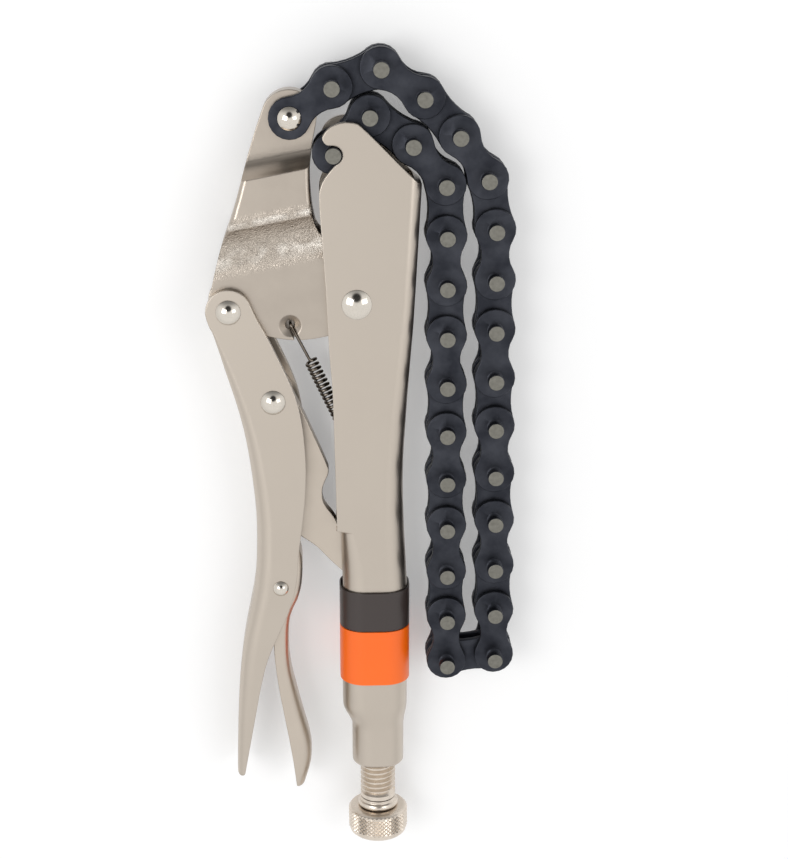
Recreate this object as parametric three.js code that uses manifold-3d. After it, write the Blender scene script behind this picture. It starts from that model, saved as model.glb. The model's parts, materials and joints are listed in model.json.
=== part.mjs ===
// A locking chain clamp: pliers whose jaw and handle grip with a bush chain. It lies flat on its side,
// locked shut, with the chain folded back along the handle and its last pin hooked in the handle.
// Millimetres, +Z up. Every place below is in the drawing frame: its origin is the jaw's pivot on the
// tool's mid-plane, +Y runs from the knob to the jaw, and +X from the lever to the chain. The finished
// tool is then set down with the centre of its box on the origin and its pins on the ground.

import * as THREE from 'three';
import { mergeVertices } from 'three/addons/utils/BufferGeometryUtils.js';
import Module from 'manifold-3d';

const wasm = await Module();
wasm.setup();

// Driving dimensions

const clearance = 0.3; // running gap between two pieces
const overrun = 3; // how far a cutter passes the faces that it cuts
const degree = Math.PI / 180;

const chain = {
  pitch: 15.875, // five eighths of an inch
  pinDiameter: 5.1,
  plateDiameter: 13, // the round ends of a link plate
  outerWaist: 8.6,
  innerWaist: 10.8,
  plateThickness: 1.9,
  bushDiameter: 7.8,
  bushLength: 3.4,
};
// The heading of each link in degrees, from the jaw to the last pin: over the top, down the outer run,
// across, and back up the inner run to the notch
const chainHeadings = [
  38, 23, -31.5, -44.5, -54, -80,
  ...Array(9).fill(-88.8),
  184,
  ...Array(9).fill(90),
  91, 127.5, 143.5, -136.5,
];

const handle = {
  sheet: 2.4,
  sideRoom: 1.8, // between the chain's outer plates and the channel's walls
  headLeft: -11.5,
  headRight: 20.3,
  spineTop: 38,
  hookHeight: 9.9, // from the notch's centre to the top of the hook
  notch: [-6.9, 46.2],
  tubeStart: -72,
  tubeAxis: 5.4,
  tubeRadius: 10.7,
  tubeRound: -96, // where the tube is fully round
  slotEnd: -99,
  shoulderStart: -138,
  shoulderEnd: -147,
  neckEnd: -160.5,
  neckRadius: 8.6,
  neckRounding: 1.4,
  lugWidth: 7, // the tab inside the channel that the spring hooks to
  lugThickness: 1.8,
};

const jaw = {
  eye: [-20, 56.8], // where the chain is riveted
  eyeRadius: 8.6,
  breadth: 20,
  bossRadius: 10.4,
  earRadius: 6.8,
  plateauHalf: 9.6,
  plateauTop: 44.3, // the thick part, measured along the jaw, square to the ramps
  plateauBottom: 30.1,
  rampLength: 4.2,
  hollowLength: 7,
  rampTilt: 11, // degrees
  edgeRounding: 1.6,
  springHole: [-20.8, -7.1],
  springHoleRadius: 1.5,
  countersinkRadius: 3.6,
};

const lever = {
  pivot: [-39.8, -2.2],
  tip: [-40.2, -163.4],
  breadth: 16,
  sheet: 2.2,
  earRadius: 7,
  spineDrop: 10.5, // from the lever's pivot down to the top of its spine
  tipHalf: 6.4,
  cornerRadius: 3,
  gripRadius: 5.2,
};

const toggle = {
  pivot: [-26.5, -31.3],
  nose: [4, -103],
  breadth: 10,
  half: 2.5,
  eyeRadius: 6,
  noseRadius: 3.4,
  travelRoom: 2.5, // between the nose and the screw, which the swinging linkage takes up
};

const trigger = {
  pivot: [-25.2, -94.2],
  tip: [-19.6, -168.3],
  breadth: 8,
  sheet: 1.6,
  half: 6.2,
  tipHalf: 5.6,
  cornerRadius: 2.6,
};

const screw = {
  axis: 6.4,
  threadRadius: 5.9,
  journalRadius: 4.4,
  collarRadius: 6.6,
  collarWidth: 3.2,
  knobRadius: 10.1,
  knobWidth: 10.2,
  knobEnd: -188.2,
  knobRounding: 1.8,
  knobFloor: 2.2, // what is left of the knob past the end of its bore
};

const rivets = {
  pivot: { shank: 3.6, head: 4.7 },
  lever: { shank: 2.6, head: 3.9 },
  link: { shank: 2.6, head: 3.9 },
  trigger: { shank: 1.7, head: 2.5 },
  chain: { shank: 2.2, head: 3.1 },
  proud: 1.6, // how far heads and chain pins stand out of the handle's walls
  chainHeadHeight: 1.7,
};

const spring = {
  wireRadius: 0.48,
  coilRadius: 1.75, // to the middle of the wire
  pitch: 1.5,
  turns: 22,
  legLength: 14.5, // from the jaw's hole to the first turn
  bend: 1.2,
  lug: [5, -62],
  anchorDepth: 3, // how far the ends reach down their holes
};

const bands = {
  thickness: 0.8,
  seat: 0.18,
  top: -96.2,
  blackWidth: 13.4,
  orangeWidth: 19,
  gap: 0.3,
};

// Heights above and below the mid-plane, stacked outwards from the chain

const innerPlateFace = chain.bushLength / 2;
const outerPlateFace = innerPlateFace + chain.plateThickness + clearance;
const chainHalf = outerPlateFace + chain.plateThickness;
const channelHalf = chainHalf + handle.sideRoom;
const handleHalf = channelHalf + handle.sheet;
const toolHalf = handleHalf + rivets.proud;
const jawHalf = channelHalf - clearance;
const jawEyeHalf = outerPlateFace - clearance;
const leverHalf = channelHalf + lever.sheet;
const pinRadius = chain.pinDiameter / 2;
const notchRadius = pinRadius + clearance + clearance / 6;

// Solids and meshes

function solid(geometry) {
  const bare = geometry.clone();
  bare.deleteAttribute('normal');
  bare.deleteAttribute('uv');
  const merged = mergeVertices(bare, 1e-5);
  return new wasm.Manifold(new wasm.Mesh({
    numProp: 3,
    vertProperties: merged.attributes.position.array,
    triVerts: new Uint32Array(merged.index.array),
  }));
}

function piece(name, shape, material, [x, y] = [0, 0]) {
  const { vertProperties, triVerts } = shape.getMesh();
  const geometry = new THREE.BufferGeometry();
  geometry.setAttribute('position', new THREE.BufferAttribute(vertProperties, 3));
  geometry.setIndex(new THREE.BufferAttribute(triVerts, 1));
  geometry.translate(-x, -y, 0);
  geometry.computeVertexNormals();
  const mesh = new THREE.Mesh(geometry, material);
  mesh.name = name;
  return mesh;
}

// A round rod along Z, or a cone where the two radii differ
function rod([x, y], radius, low, high, sides = 20, topRadius = radius) {
  const geometry = new THREE.CylinderGeometry(topRadius, radius, high - low, sides);
  geometry.rotateX(Math.PI / 2);
  geometry.translate(x, y, (low + high) / 2);
  return solid(geometry);
}

function plate(points, low, high, rounding = 0) {
  const geometry = new THREE.ExtrudeGeometry(new THREE.Shape(points), {
    depth: high - low - 2 * rounding,
    bevelEnabled: rounding > 0,
    bevelThickness: rounding,
    bevelSize: rounding,
    bevelOffset: -rounding,
    bevelSegments: 3,
  });
  geometry.translate(0, 0, low + rounding);
  return solid(geometry);
}

// A solid of revolution about the line x = axis, from [radius, y] pairs
function turned(axis, profile, sides = 28) {
  const geometry = new THREE.LatheGeometry(profile.map(([r, y]) => new THREE.Vector2(r, y)), sides);
  geometry.translate(axis, 0, 0);
  return solid(geometry);
}

// Outlines

function arc([x, y], radius, from, to, steps) {
  return Array.from({ length: steps + 1 }, (_, i) => {
    const angle = (from + (to - from) * i / steps) * degree;
    return new THREE.Vector2(x + radius * Math.cos(angle), y + radius * Math.sin(angle));
  });
}

function smooth(points, steps) {
  return new THREE.SplineCurve(points).getPoints(steps);
}

// Points given as shares of the run between two places, and of a breadth to its left
function beside([ax, ay], [bx, by], breadth, shares) {
  const run = Math.hypot(bx - ax, by - ay);
  const across = breadth / run;
  return shares.map(([along, aside]) => new THREE.Vector2(
    ax + (bx - ax) * along - (by - ay) * across * aside,
    ay + (by - ay) * along + (bx - ax) * across * aside,
  ));
}

// The value at y of an edge or a size that is known at a few heights
function at(points, y) {
  const next = points.findIndex((point) => point.y <= y);
  if (next <= 0) return points[next === 0 ? 0 : points.length - 1].x;
  const a = points[next - 1];
  const b = points[next];
  return b.x + (a.x - b.x) * (y - b.y) / (a.y - b.y);
}

// Formed sheet: sections across the tool, joined into one closed skin

function section(y, left, right, half, leftCorner, rightCorner, steps = 5) {
  const corners = [
    [right - rightCorner, half - rightCorner, rightCorner, 0],
    [left + leftCorner, half - leftCorner, leftCorner, 90],
    [left + leftCorner, leftCorner - half, leftCorner, 180],
    [right - rightCorner, rightCorner - half, rightCorner, 270],
  ];
  return corners.flatMap(([x, z, radius, start]) => arc([x, z], radius, start, start + 90, steps))
    .map((point) => new THREE.Vector3(point.x, y, point.y));
}

function loft(sections) {
  const count = sections[0].length;
  const index = [];
  for (let s = 0; s < sections.length - 1; s += 1) {
    for (let i = 0; i < count; i += 1) {
      const a = s * count + i;
      const b = s * count + (i + 1) % count;
      index.push(a, b, a + count, b, b + count, a + count);
    }
  }
  const last = (sections.length - 1) * count;
  for (let i = 1; i < count - 1; i += 1) {
    index.push(0, i + 1, i);
    index.push(last, last + i, last + i + 1);
  }
  const geometry = new THREE.BufferGeometry().setFromPoints(sections.flat());
  geometry.setIndex(index);
  return solid(geometry);
}

// Chain layout: the headings are corrected alike, by as little as closes the loop on the notch

function layChain() {
  const headings = chainHeadings.map((heading) => heading * degree);
  const walk = () => headings.reduce((pins, heading) => {
    const [x, y] = pins.at(-1);
    return [...pins, [x + chain.pitch * Math.cos(heading), y + chain.pitch * Math.sin(heading)]];
  }, [jaw.eye]);
  for (let round = 0; round < 20; round += 1) {
    const [x, y] = walk().at(-1);
    const missX = handle.notch[0] - x;
    const missY = handle.notch[1] - y;
    const sideways = headings.map((heading) => [-chain.pitch * Math.sin(heading), chain.pitch * Math.cos(heading)]);
    const xx = sideways.reduce((sum, [u]) => sum + u * u, 0);
    const xy = sideways.reduce((sum, [u, v]) => sum + u * v, 0);
    const yy = sideways.reduce((sum, [, v]) => sum + v * v, 0);
    const spread = xx * yy - xy * xy;
    const shareX = (missX * yy - missY * xy) / spread;
    const shareY = (missY * xx - missX * xy) / spread;
    sideways.forEach(([u, v], i) => {
      headings[i] += u * shareX + v * shareY;
    });
  }
  return { headings, pins: walk() };
}

// Chain links, each with its first pin at its own origin and its second one pitch along +X

function linkOutline(waist) {
  const end = chain.plateDiameter / 2;
  const half = chain.pitch / 2;
  const radius = (half ** 2 + (waist / 2) ** 2 - end ** 2) / (2 * end - waist);
  const rise = waist / 2 + radius;
  const turn = Math.atan2(rise, half) / degree;
  return [
    ...arc([chain.pitch, 0], end, turn - 180, 180 - turn, 7),
    ...arc([half, rise], radius, -turn, turn - 180, 2).slice(1),
    ...arc([0, 0], end, turn, 360 - turn, 7).slice(1),
    ...arc([half, -rise], radius, 180 - turn, turn, 2).slice(1, -1),
  ];
}

function bothSides(points, low, high) {
  return plate(points, low, high).add(plate(points, -high, -low));
}

function outerLink(riveted) {
  const far = [chain.pitch, 0];
  const plates = bothSides(linkOutline(chain.outerWaist), outerPlateFace, chainHalf);
  const linked = plates.add(rod(far, pinRadius, -toolHalf, toolHalf, 10));
  const hole = rod([0, 0], rivets.chain.shank + clearance, -toolHalf, toolHalf, 12);
  return riveted ? linked.subtract(hole) : linked.add(rod([0, 0], pinRadius, -toolHalf, toolHalf, 10));
}

function innerLink() {
  const places = [[0, 0], [chain.pitch, 0]];
  const plates = bothSides(linkOutline(chain.innerWaist), innerPlateFace, innerPlateFace + chain.plateThickness);
  const bushed = places.reduce(
    (body, place) => body.add(rod(place, chain.bushDiameter / 2, -innerPlateFace, innerPlateFace, 10)),
    plates,
  );
  return places.reduce(
    (body, place) => body.subtract(rod(place, pinRadius + clearance, -toolHalf, toolHalf, 10)),
    bushed,
  );
}

// Handle: a channel of sheet steel whose spine faces the chain, closing into a tube below

// The spine's outer edge and its corner, as shares of the run from the spine's top to the round tube
const spineEdgeShares = [
  [1, 0], [0.65, 0.2], [0.4, 0.34], [0.1, 0.46], [-0.2, 0.6], [-0.35, 0.7], [-0.3, 0.81], [-0.15, 0.91], [0, 1],
];
const spineCornerShares = [[0.3, 0], [0.34, 0.25], [0.45, 0.4], [0.66, 0.55], [0.86, 0.72], [0.96, 0.85], [0.985, 1]];
// The hook, around the notch's centre, as shares of its height
const hookShares = [
  [-0.19, 0.29], [-0.34, 0.47], [-0.31, 0.61], [-0.14, 0.82], [0.07, 0.94], [0.3, 1], [0.52, 1], [0.7, 0.97],
  [0.84, 0.91],
];
const throatShares = [[-0.25, -0.66], [-0.4, -0.95], [-0.46, -1.26]];
// The left edge of the walls, as shares of the run from the throat to the tube
const wallEdgeShares = [[0.15, 0.11], [0.34, 0.22], [0.45, 0.32], [0.6, 0.48], [0.78, 0.56], [0.85, 0.68], [1, 1]];
const wallFootShare = -1.14; // where the walls close into the tube, in tube radii from its axis
const slantFootShare = 0.9; // where the slanted top edge starts to round into the spine, in head widths

function handleOutline() {
  const [notchX, notchY] = handle.notch;
  const around = ([x, y]) => new THREE.Vector2(notchX + x * handle.hookHeight, notchY + y * handle.hookHeight);
  const throat = around(throatShares.at(-1));
  const foot = handle.tubeAxis + handle.tubeRadius * wallFootShare;
  const headWidth = handle.headRight - handle.headLeft;
  const far = handle.headRight + overrun;
  const bottom = handle.neckEnd - overrun;
  const tubeTop = handle.tubeStart - 1.5 * handle.sheet;
  const wall = wallEdgeShares.map(([x, y]) => new THREE.Vector2(
    throat.x + (foot - throat.x) * x,
    throat.y + (handle.tubeStart - throat.y) * y,
  ));
  return [
    ...hookShares.map(around),
    ...arc([handle.headLeft + headWidth * slantFootShare, handle.spineTop - 2 * handle.sheet], 2 * handle.sheet, 75, 15, 4),
    new THREE.Vector2(far, handle.spineTop - 3 * handle.sheet),
    new THREE.Vector2(far, bottom),
    new THREE.Vector2(handle.headLeft - overrun, bottom),
    new THREE.Vector2(handle.headLeft - overrun, tubeTop),
    new THREE.Vector2(foot, tubeTop),
    ...wall.reverse(),
    ...throatShares.map(around).reverse(),
    ...arc(handle.notch, notchRadius, -75, 90, 7),
  ];
}

function handleSections(inset) {
  const run = handle.spineTop - handle.tubeRound;
  const tubeRight = handle.tubeAxis + handle.tubeRadius;
  const place = ([x, y]) => new THREE.Vector2(x, handle.spineTop - y * run);
  const spineEdge = smooth(
    spineEdgeShares.map(([x, y]) => place([tubeRight + (handle.headRight - tubeRight) * x, y])),
    24,
  );
  const corner = spineCornerShares.map(([x, y]) => place([handle.tubeRadius * x, y]));
  const half = [
    new THREE.Vector2(handleHalf, (handle.tubeStart + handle.spineTop / 2)),
    new THREE.Vector2(handle.tubeRadius, handle.tubeRound),
  ];
  const open = handle.headLeft - 2 * overrun - inset;
  const channelShares = [0, 0.14, 0.26, 0.38, 0.5, 0.61, 0.71, 0.8];
  const ring = (y, left, leftCorner) => section(
    y,
    left,
    at(spineEdge, y) - inset,
    at(half, y) - inset,
    leftCorner,
    Math.max(at(corner, y) - inset, handle.sheet / 4),
  );
  const tubeCorner = (handle.tubeRadius - inset) * spineCornerShares.at(-1)[0];
  const tubeLeft = handle.tubeAxis - handle.tubeRadius + inset;
  return [
    ring(handle.notch[1] + handle.hookHeight + overrun, open, handle.sheet / 4),
    ...channelShares.map((share) => ring(handle.spineTop - share * run, open, handle.sheet / 4)),
    ring(handle.tubeStart, open, handle.sheet / 4),
    ring(handle.tubeStart - 1.5 * handle.sheet, tubeLeft, tubeCorner / 2),
    ring((handle.tubeStart + handle.tubeRound) / 2, tubeLeft, 0.9 * tubeCorner),
    ring(handle.tubeRound, tubeLeft, tubeCorner),
  ];
}

function roundSection(y, axis, radius) {
  return section(y, axis - radius, axis + radius, radius, 0.985 * radius, 0.985 * radius);
}

function makeHandle() {
  const neckStart = handle.neckEnd + handle.neckRounding;
  const outer = loft([
    ...handleSections(0),
    roundSection(handle.shoulderStart, handle.tubeAxis, handle.tubeRadius),
    roundSection((handle.shoulderStart + handle.shoulderEnd) / 2, (handle.tubeAxis + screw.axis) / 2,
      (handle.tubeRadius + handle.neckRadius) / 2),
    roundSection(handle.shoulderEnd, screw.axis, handle.neckRadius),
    roundSection(neckStart, screw.axis, handle.neckRadius),
    roundSection(handle.neckEnd, screw.axis, handle.neckRadius - handle.neckRounding),
  ]);
  const boreRadius = screw.threadRadius + clearance;
  const hollow = loft([
    ...handleSections(handle.sheet),
    roundSection(handle.shoulderStart + handle.sheet, handle.tubeAxis, handle.tubeRadius - handle.sheet),
    roundSection(handle.shoulderEnd + handle.sheet, screw.axis, boreRadius),
    roundSection(handle.neckEnd - overrun, screw.axis, boreRadius),
  ]);
  const slotHalf = toggle.half + 5 * clearance;
  const slotTop = handle.tubeStart + handle.tubeRadius;
  const slotReach = 2 * handle.tubeRadius;
  const slot = new THREE.BoxGeometry(slotReach, slotTop - handle.slotEnd, 2 * slotHalf);
  slot.translate(handle.tubeAxis - slotReach / 2, (slotTop + handle.slotEnd) / 2, 0);
  const pivotHole = rod([0, 0], rivets.pivot.shank + clearance, -toolHalf, toolHalf);
  return outer
    .subtract(hollow)
    .intersect(plate(handleOutline(), -toolHalf, toolHalf))
    .subtract(solid(slot))
    .subtract(pivotHole)
    .add(springLug());
}

// A tab from the inside of the spine, with a hole for the spring's end
function springLug() {
  const [x, y] = spring.lug;
  const width = handle.lugWidth;
  const reach = handle.tubeAxis + handle.tubeRadius - 1.5 * handle.sheet;
  const tab = [
    new THREE.Vector2(reach, y + width / 2),
    ...arc([x, y], width / 2, 90, 270, 6),
    new THREE.Vector2(reach, y - width / 2),
  ];
  const hole = rod(spring.lug, spring.wireRadius + clearance, -toolHalf, toolHalf, 10);
  return plate(tab, -handle.lugThickness / 2, handle.lugThickness / 2).subtract(hole);
}

// Jaw: a forging, thin at the chain's eye, thick in the middle and flat where it enters the handle

const jawLeftShares = [[0.22, 0.38], [0.35, 0.4], [0.47, 0.385], [0.625, 0.41], [0.82, 0.44]];
const jawRightShares = [[0.93, -0.44], [0.86, -0.48], [0.8, -0.52], [0.69, -0.64], [0.58, -0.79], [0.5, -0.96]];
const jawBottomShares = [[-0.03, -1.28], [-0.06, -0.88], [-0.065, -0.66]];

function jawOutline() {
  const along = (shares) => beside(lever.pivot, jaw.eye, jaw.breadth, shares);
  return [
    ...arc(lever.pivot, jaw.earRadius, 270, 170, 6),
    ...smooth(along(jawLeftShares), 12),
    ...arc(jaw.eye, jaw.eyeRadius, 165, 5, 12),
    ...smooth(along(jawRightShares), 10),
    ...arc([0, 0], jaw.bossRadius, 75, -115, 12),
    ...along(jawBottomShares),
  ];
}

// Half the thickness, as shares of the step from the jaw's flat part up to the thick part
const hollowShares = [[0, 1], [0.13, 0.72], [0.36, 0.34], [0.66, 0.1], [1, 0]];
// The same for the ramp, from the thick part down to the thin eye
const rampShares = [[0, 1], [0.1, 0.93], [0.5, 0.3], [0.75, 0.08], [1, 0]];

function jawThickness() {
  const top = [
    [-jaw.plateauTop - overrun, jawHalf],
    ...hollowShares.toReversed().map(([along, up]) => [
      jaw.plateauBottom - along * jaw.hollowLength,
      jawHalf + up * (jaw.plateauHalf - jawHalf),
    ]),
    ...rampShares.map(([along, up]) => [
      jaw.plateauTop + along * jaw.rampLength,
      jawEyeHalf + up * (jaw.plateauHalf - jawEyeHalf),
    ]),
    [2 * jaw.plateauTop, jawEyeHalf],
  ];
  const profile = [...top, ...top.toReversed().map(([w, z]) => [w, -z])];
  const reach = 3 * jaw.plateauTop;
  const geometry = new THREE.ExtrudeGeometry(
    new THREE.Shape(profile.map(([w, z]) => new THREE.Vector2(w, z))),
    { depth: reach, bevelEnabled: false },
  );
  geometry.translate(0, 0, -reach / 2);
  const tilt = jaw.rampTilt * degree;
  geometry.applyMatrix4(new THREE.Matrix4().makeBasis(
    new THREE.Vector3(-Math.sin(tilt), Math.cos(tilt), 0),
    new THREE.Vector3(0, 0, 1),
    new THREE.Vector3(Math.cos(tilt), Math.sin(tilt), 0),
  ));
  return solid(geometry);
}

function makeJaw() {
  const sinkDepth = jaw.countersinkRadius - jaw.springHoleRadius;
  const sink = rod(jaw.springHole, jaw.springHoleRadius, jawHalf - sinkDepth, jawHalf + clearance, 16,
    jaw.countersinkRadius + clearance);
  const [holeX, holeY] = jaw.springHole;
  const [lugX, lugY] = spring.lug;
  const grooveFloor = jawHalf - jaw.countersinkRadius - 3 * clearance;
  const groove = new THREE.BoxGeometry(2 * jaw.springHoleRadius, 2 * jaw.countersinkRadius, jawHalf);
  groove.translate(0, -jaw.countersinkRadius, grooveFloor + jawHalf / 2);
  groove.rotateZ(Math.atan2(lugY - holeY, lugX - holeX) + Math.PI / 2);
  groove.translate(holeX, holeY, 0);
  const holes = [
    rod([0, 0], rivets.pivot.shank + clearance, -toolHalf, toolHalf),
    rod(lever.pivot, rivets.lever.shank + clearance, -toolHalf, toolHalf),
    rod(jaw.eye, rivets.chain.shank + clearance, -toolHalf, toolHalf, 12),
    rod(jaw.springHole, jaw.springHoleRadius, -toolHalf, toolHalf, 12),
    sink,
  ];
  const blank = plate(jawOutline(), -jaw.plateauHalf, jaw.plateauHalf, jaw.edgeRounding);
  return holes.reduce((body, hole) => body.subtract(hole), blank.intersect(jawThickness())).subtract(solid(groove));
}

// Lever: a channel of sheet steel, open towards the handle

const leverLeftShares = [
  [0.03, -0.37], [0.063, -0.25], [0.117, -0.1], [0.2, 0.14], [0.265, 0.28], [0.338, 0.38], [0.42, 0.45], [0.51, 0.44],
  [0.574, 0.38], [0.626, 0.28], [0.714, 0.1], [0.82, 0], [1, -0.06],
];
const leverRightShares = [
  [0.01, 0.52], [0.041, 0.7], [0.085, 0.91], [0.154, 1.23], [0.201, 1.36], [0.267, 1.45], [0.35, 1.47], [0.438, 1.38],
  [0.5, 1.28], [0.56, 1.26], [0.628, 1.08], [0.698, 0.74], [0.76, 0.53], [0.856, 0.36], [1, 0.1],
];

function leverEdges() {
  const along = (shares, steps) => smooth(beside(lever.pivot, lever.tip, lever.breadth, shares), steps);
  return { left: along(leverLeftShares, 22), right: along(leverRightShares, 26) };
}

// A channel whose sections follow its edges, with its spine on one side
function channel({ edge, spineSide, stations, sheet, half, corner, spineTop, reach }) {
  const skin = (inset) => loft(stations.map((y) => {
    const spineHere = y > spineTop && inset > 0 ? -2 * overrun : inset;
    const face = at(edge, y) + spineSide * -spineHere;
    const back = face - spineSide * reach;
    const round = Math.max(at(corner, y) - inset, sheet / 4);
    const blunt = sheet / 4;
    const height = at(half, y) - inset;
    return spineSide < 0
      ? section(y, face, back, height, round, blunt)
      : section(y, back, face, height, blunt, round);
  }));
  return skin(0).subtract(skin(sheet));
}

function makeLever() {
  const { left, right } = leverEdges();
  const [pivotX, pivotY] = lever.pivot;
  const length = pivotY - lever.tip[1];
  const down = (share) => pivotY - share * length;
  const spineTop = pivotY - lever.spineDrop;
  const top = pivotY + lever.earRadius + overrun;
  const outline = [
    ...arc(lever.pivot, lever.earRadius, 20, 190, 10),
    ...left,
    ...right.toReversed(),
  ];
  const formed = channel({
    edge: left,
    spineSide: -1,
    stations: [
      top, spineTop + clearance, spineTop,
      ...[0.12, 0.19, 0.26, 0.34, 0.42, 0.5, 0.58, 0.66, 0.74, 0.83, 0.92].map(down),
      down(1) - overrun,
    ],
    sheet: lever.sheet,
    half: [
      new THREE.Vector2(leverHalf, down(0.55)),
      new THREE.Vector2((2 * leverHalf + lever.tipHalf) / 3, down(0.75)),
      new THREE.Vector2(lever.tipHalf, down(1)),
    ],
    corner: [
      new THREE.Vector2(lever.cornerRadius, down(0.1)),
      new THREE.Vector2(lever.gripRadius, down(0.42)),
      new THREE.Vector2(lever.gripRadius, down(0.75)),
      new THREE.Vector2(lever.cornerRadius, down(1)),
    ],
    spineTop,
    reach: 3 * lever.breadth,
  });
  const holes = [
    rod([pivotX, pivotY], rivets.lever.shank + clearance, -toolHalf, toolHalf),
    rod(toggle.pivot, rivets.link.shank + clearance, -toolHalf, toolHalf),
    rod(trigger.pivot, rivets.trigger.shank + clearance, -toolHalf, toolHalf, 12),
  ];
  return holes.reduce(
    (body, hole) => body.subtract(hole),
    formed.intersect(plate(outline, -toolHalf, toolHalf)),
  );
}

// Release trigger: a small channel that nests in the lever, with its spine towards the fingers

const triggerRightShares = [
  [-0.153, 0.96], [-0.048, 0.94], [0.056, 0.74], [0.16, 0.25], [0.28, 0.06], [0.41, 0.02], [0.55, 0.2], [0.69, 0.43],
  [0.781, 0.57], [0.857, 0.56], [0.931, 0.38], [1, 0.12],
];
const triggerLeftShares = [
  [-0.17, 0.52], [-0.109, -0.15], [-0.008, -0.3], [0.1, -0.4], [0.285, -0.58], [0.465, -0.56], [0.657, -0.4],
  [0.85, -0.24], [1, -0.2],
];

function makeTrigger() {
  const along = (shares, steps) => smooth(beside(trigger.pivot, trigger.tip, trigger.breadth, shares), steps);
  const right = along(triggerRightShares, 18);
  const left = along(triggerLeftShares, 12);
  const length = trigger.pivot[1] - trigger.tip[1];
  const down = (share) => trigger.pivot[1] - share * length;
  const formed = channel({
    edge: right,
    spineSide: 1,
    stations: [-0.2, -0.05, 0.08, 0.18, 0.3, 0.42, 0.54, 0.68, 0.78, 0.88, 1.04].map(down),
    sheet: trigger.sheet,
    half: [
      new THREE.Vector2(trigger.half, down(0.3)),
      new THREE.Vector2(trigger.tipHalf, down(1)),
    ],
    corner: [new THREE.Vector2(trigger.cornerRadius, down(0)), new THREE.Vector2(trigger.cornerRadius, down(1))],
    spineTop: down(-1),
    reach: 4 * trigger.breadth,
  });
  return formed
    .intersect(plate([...left, ...right.toReversed()], -toolHalf, toolHalf))
    .subtract(rod(trigger.pivot, rivets.trigger.shank + clearance, -toolHalf, toolHalf, 12));
}

// Toggle link: a thick plate from the lever to the screw, with an eye that fills the lever's channel

const toggleRightShares = [
  [0.12, 0.64], [0.2, 0.64], [0.361, 0.64], [0.392, 0.6], [0.42, 0.33], [0.459, 0.08], [0.521, -0.02], [0.585, 0.18],
];
const toggleLeftShares = [
  [0.87, -0.16], [0.8, -0.42], [0.73, -0.64], [0.67, -0.78], [0.62, -1.03], [0.565, -1.28], [0.417, -1.15], [0.15, -0.8],
];

function makeToggle() {
  const along = (shares) => beside(toggle.pivot, toggle.nose, toggle.breadth, shares);
  const outline = [
    ...arc(toggle.pivot, toggle.eyeRadius, 190, 30, 8),
    ...smooth(along(toggleRightShares), 16),
    ...arc(toggle.nose, toggle.noseRadius, 30, -150, 6),
    ...smooth(along(toggleLeftShares), 12),
  ];
  return plate(outline, -toggle.half, toggle.half)
    .add(rod(toggle.pivot, toggle.eyeRadius, -jawHalf, jawHalf))
    .subtract(rod(toggle.pivot, rivets.link.shank + clearance, -toolHalf, toolHalf));
}

// Adjusting screw, its collar and its knob, all turned about the screw's axis

const collarTop = screw.knobEnd + screw.knobWidth + clearance + screw.collarWidth;

function makeScrew() {
  const tip = toggle.nose[1] - toggle.noseRadius - toggle.travelRoom;
  const shoulder = collarTop + clearance;
  const end = screw.knobEnd + screw.knobFloor + clearance;
  const chamfer = handle.neckRounding / 2;
  return turned(screw.axis, [
    [0, end],
    [screw.journalRadius, end],
    [screw.journalRadius, shoulder],
    [screw.threadRadius, shoulder],
    [screw.threadRadius, tip - chamfer],
    [screw.threadRadius - chamfer, tip],
    [0, tip],
  ], 24);
}

function makeCollar() {
  const inner = screw.journalRadius + clearance;
  const bottom = collarTop - screw.collarWidth;
  return turned(screw.axis, [
    [inner, bottom], [screw.collarRadius, bottom], [screw.collarRadius, collarTop], [inner, collarTop], [inner, bottom],
  ], 24);
}

function makeKnob() {
  const inner = screw.journalRadius + clearance;
  const top = screw.knobEnd + screw.knobWidth;
  const floor = screw.knobEnd + screw.knobFloor;
  const round = screw.knobRounding;
  const corner = ([x, y], from) => arc([x, y], round, from, from + 90, 3).map((point) => [point.x, point.y]);
  return turned(screw.axis, [
    [0, screw.knobEnd],
    ...corner([screw.knobRadius - round, screw.knobEnd + round], -90),
    ...corner([screw.knobRadius - round, top - round], 0),
    [inner, top],
    [inner, floor],
    [0, floor],
  ], 30);
}

// Rivets, with a low dome at each end

function rivet(place, { shank, head }, seat, top, sides = 14) {
  const foot = seat + clearance / 2;
  const dome = arc([0, 0], 1, 0, 90, 3).map((point) => [head * point.x, foot + (top - foot) * point.y]);
  const upper = [[shank, foot], ...dome];
  const lower = upper.toReversed().map(([r, y]) => [r, -y]);
  const geometry = new THREE.LatheGeometry(
    [...lower, ...upper].map(([r, y]) => new THREE.Vector2(Math.abs(r) < 1e-9 ? 0 : r, y)),
    sides,
  );
  geometry.rotateX(Math.PI / 2);
  geometry.translate(place[0], place[1], 0);
  return solid(geometry);
}

// Plastic bands around the tube

function makeBand(top, width) {
  const inner = handle.tubeRadius + bands.seat;
  const outer = handle.tubeRadius + bands.thickness;
  return turned(handle.tubeAxis, [
    [inner, top - width], [outer, top - width], [outer, top], [inner, top], [inner, top - width],
  ]);
}

// Return spring: one wire from the jaw's hole, through its coil, to the lug in the handle

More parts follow.
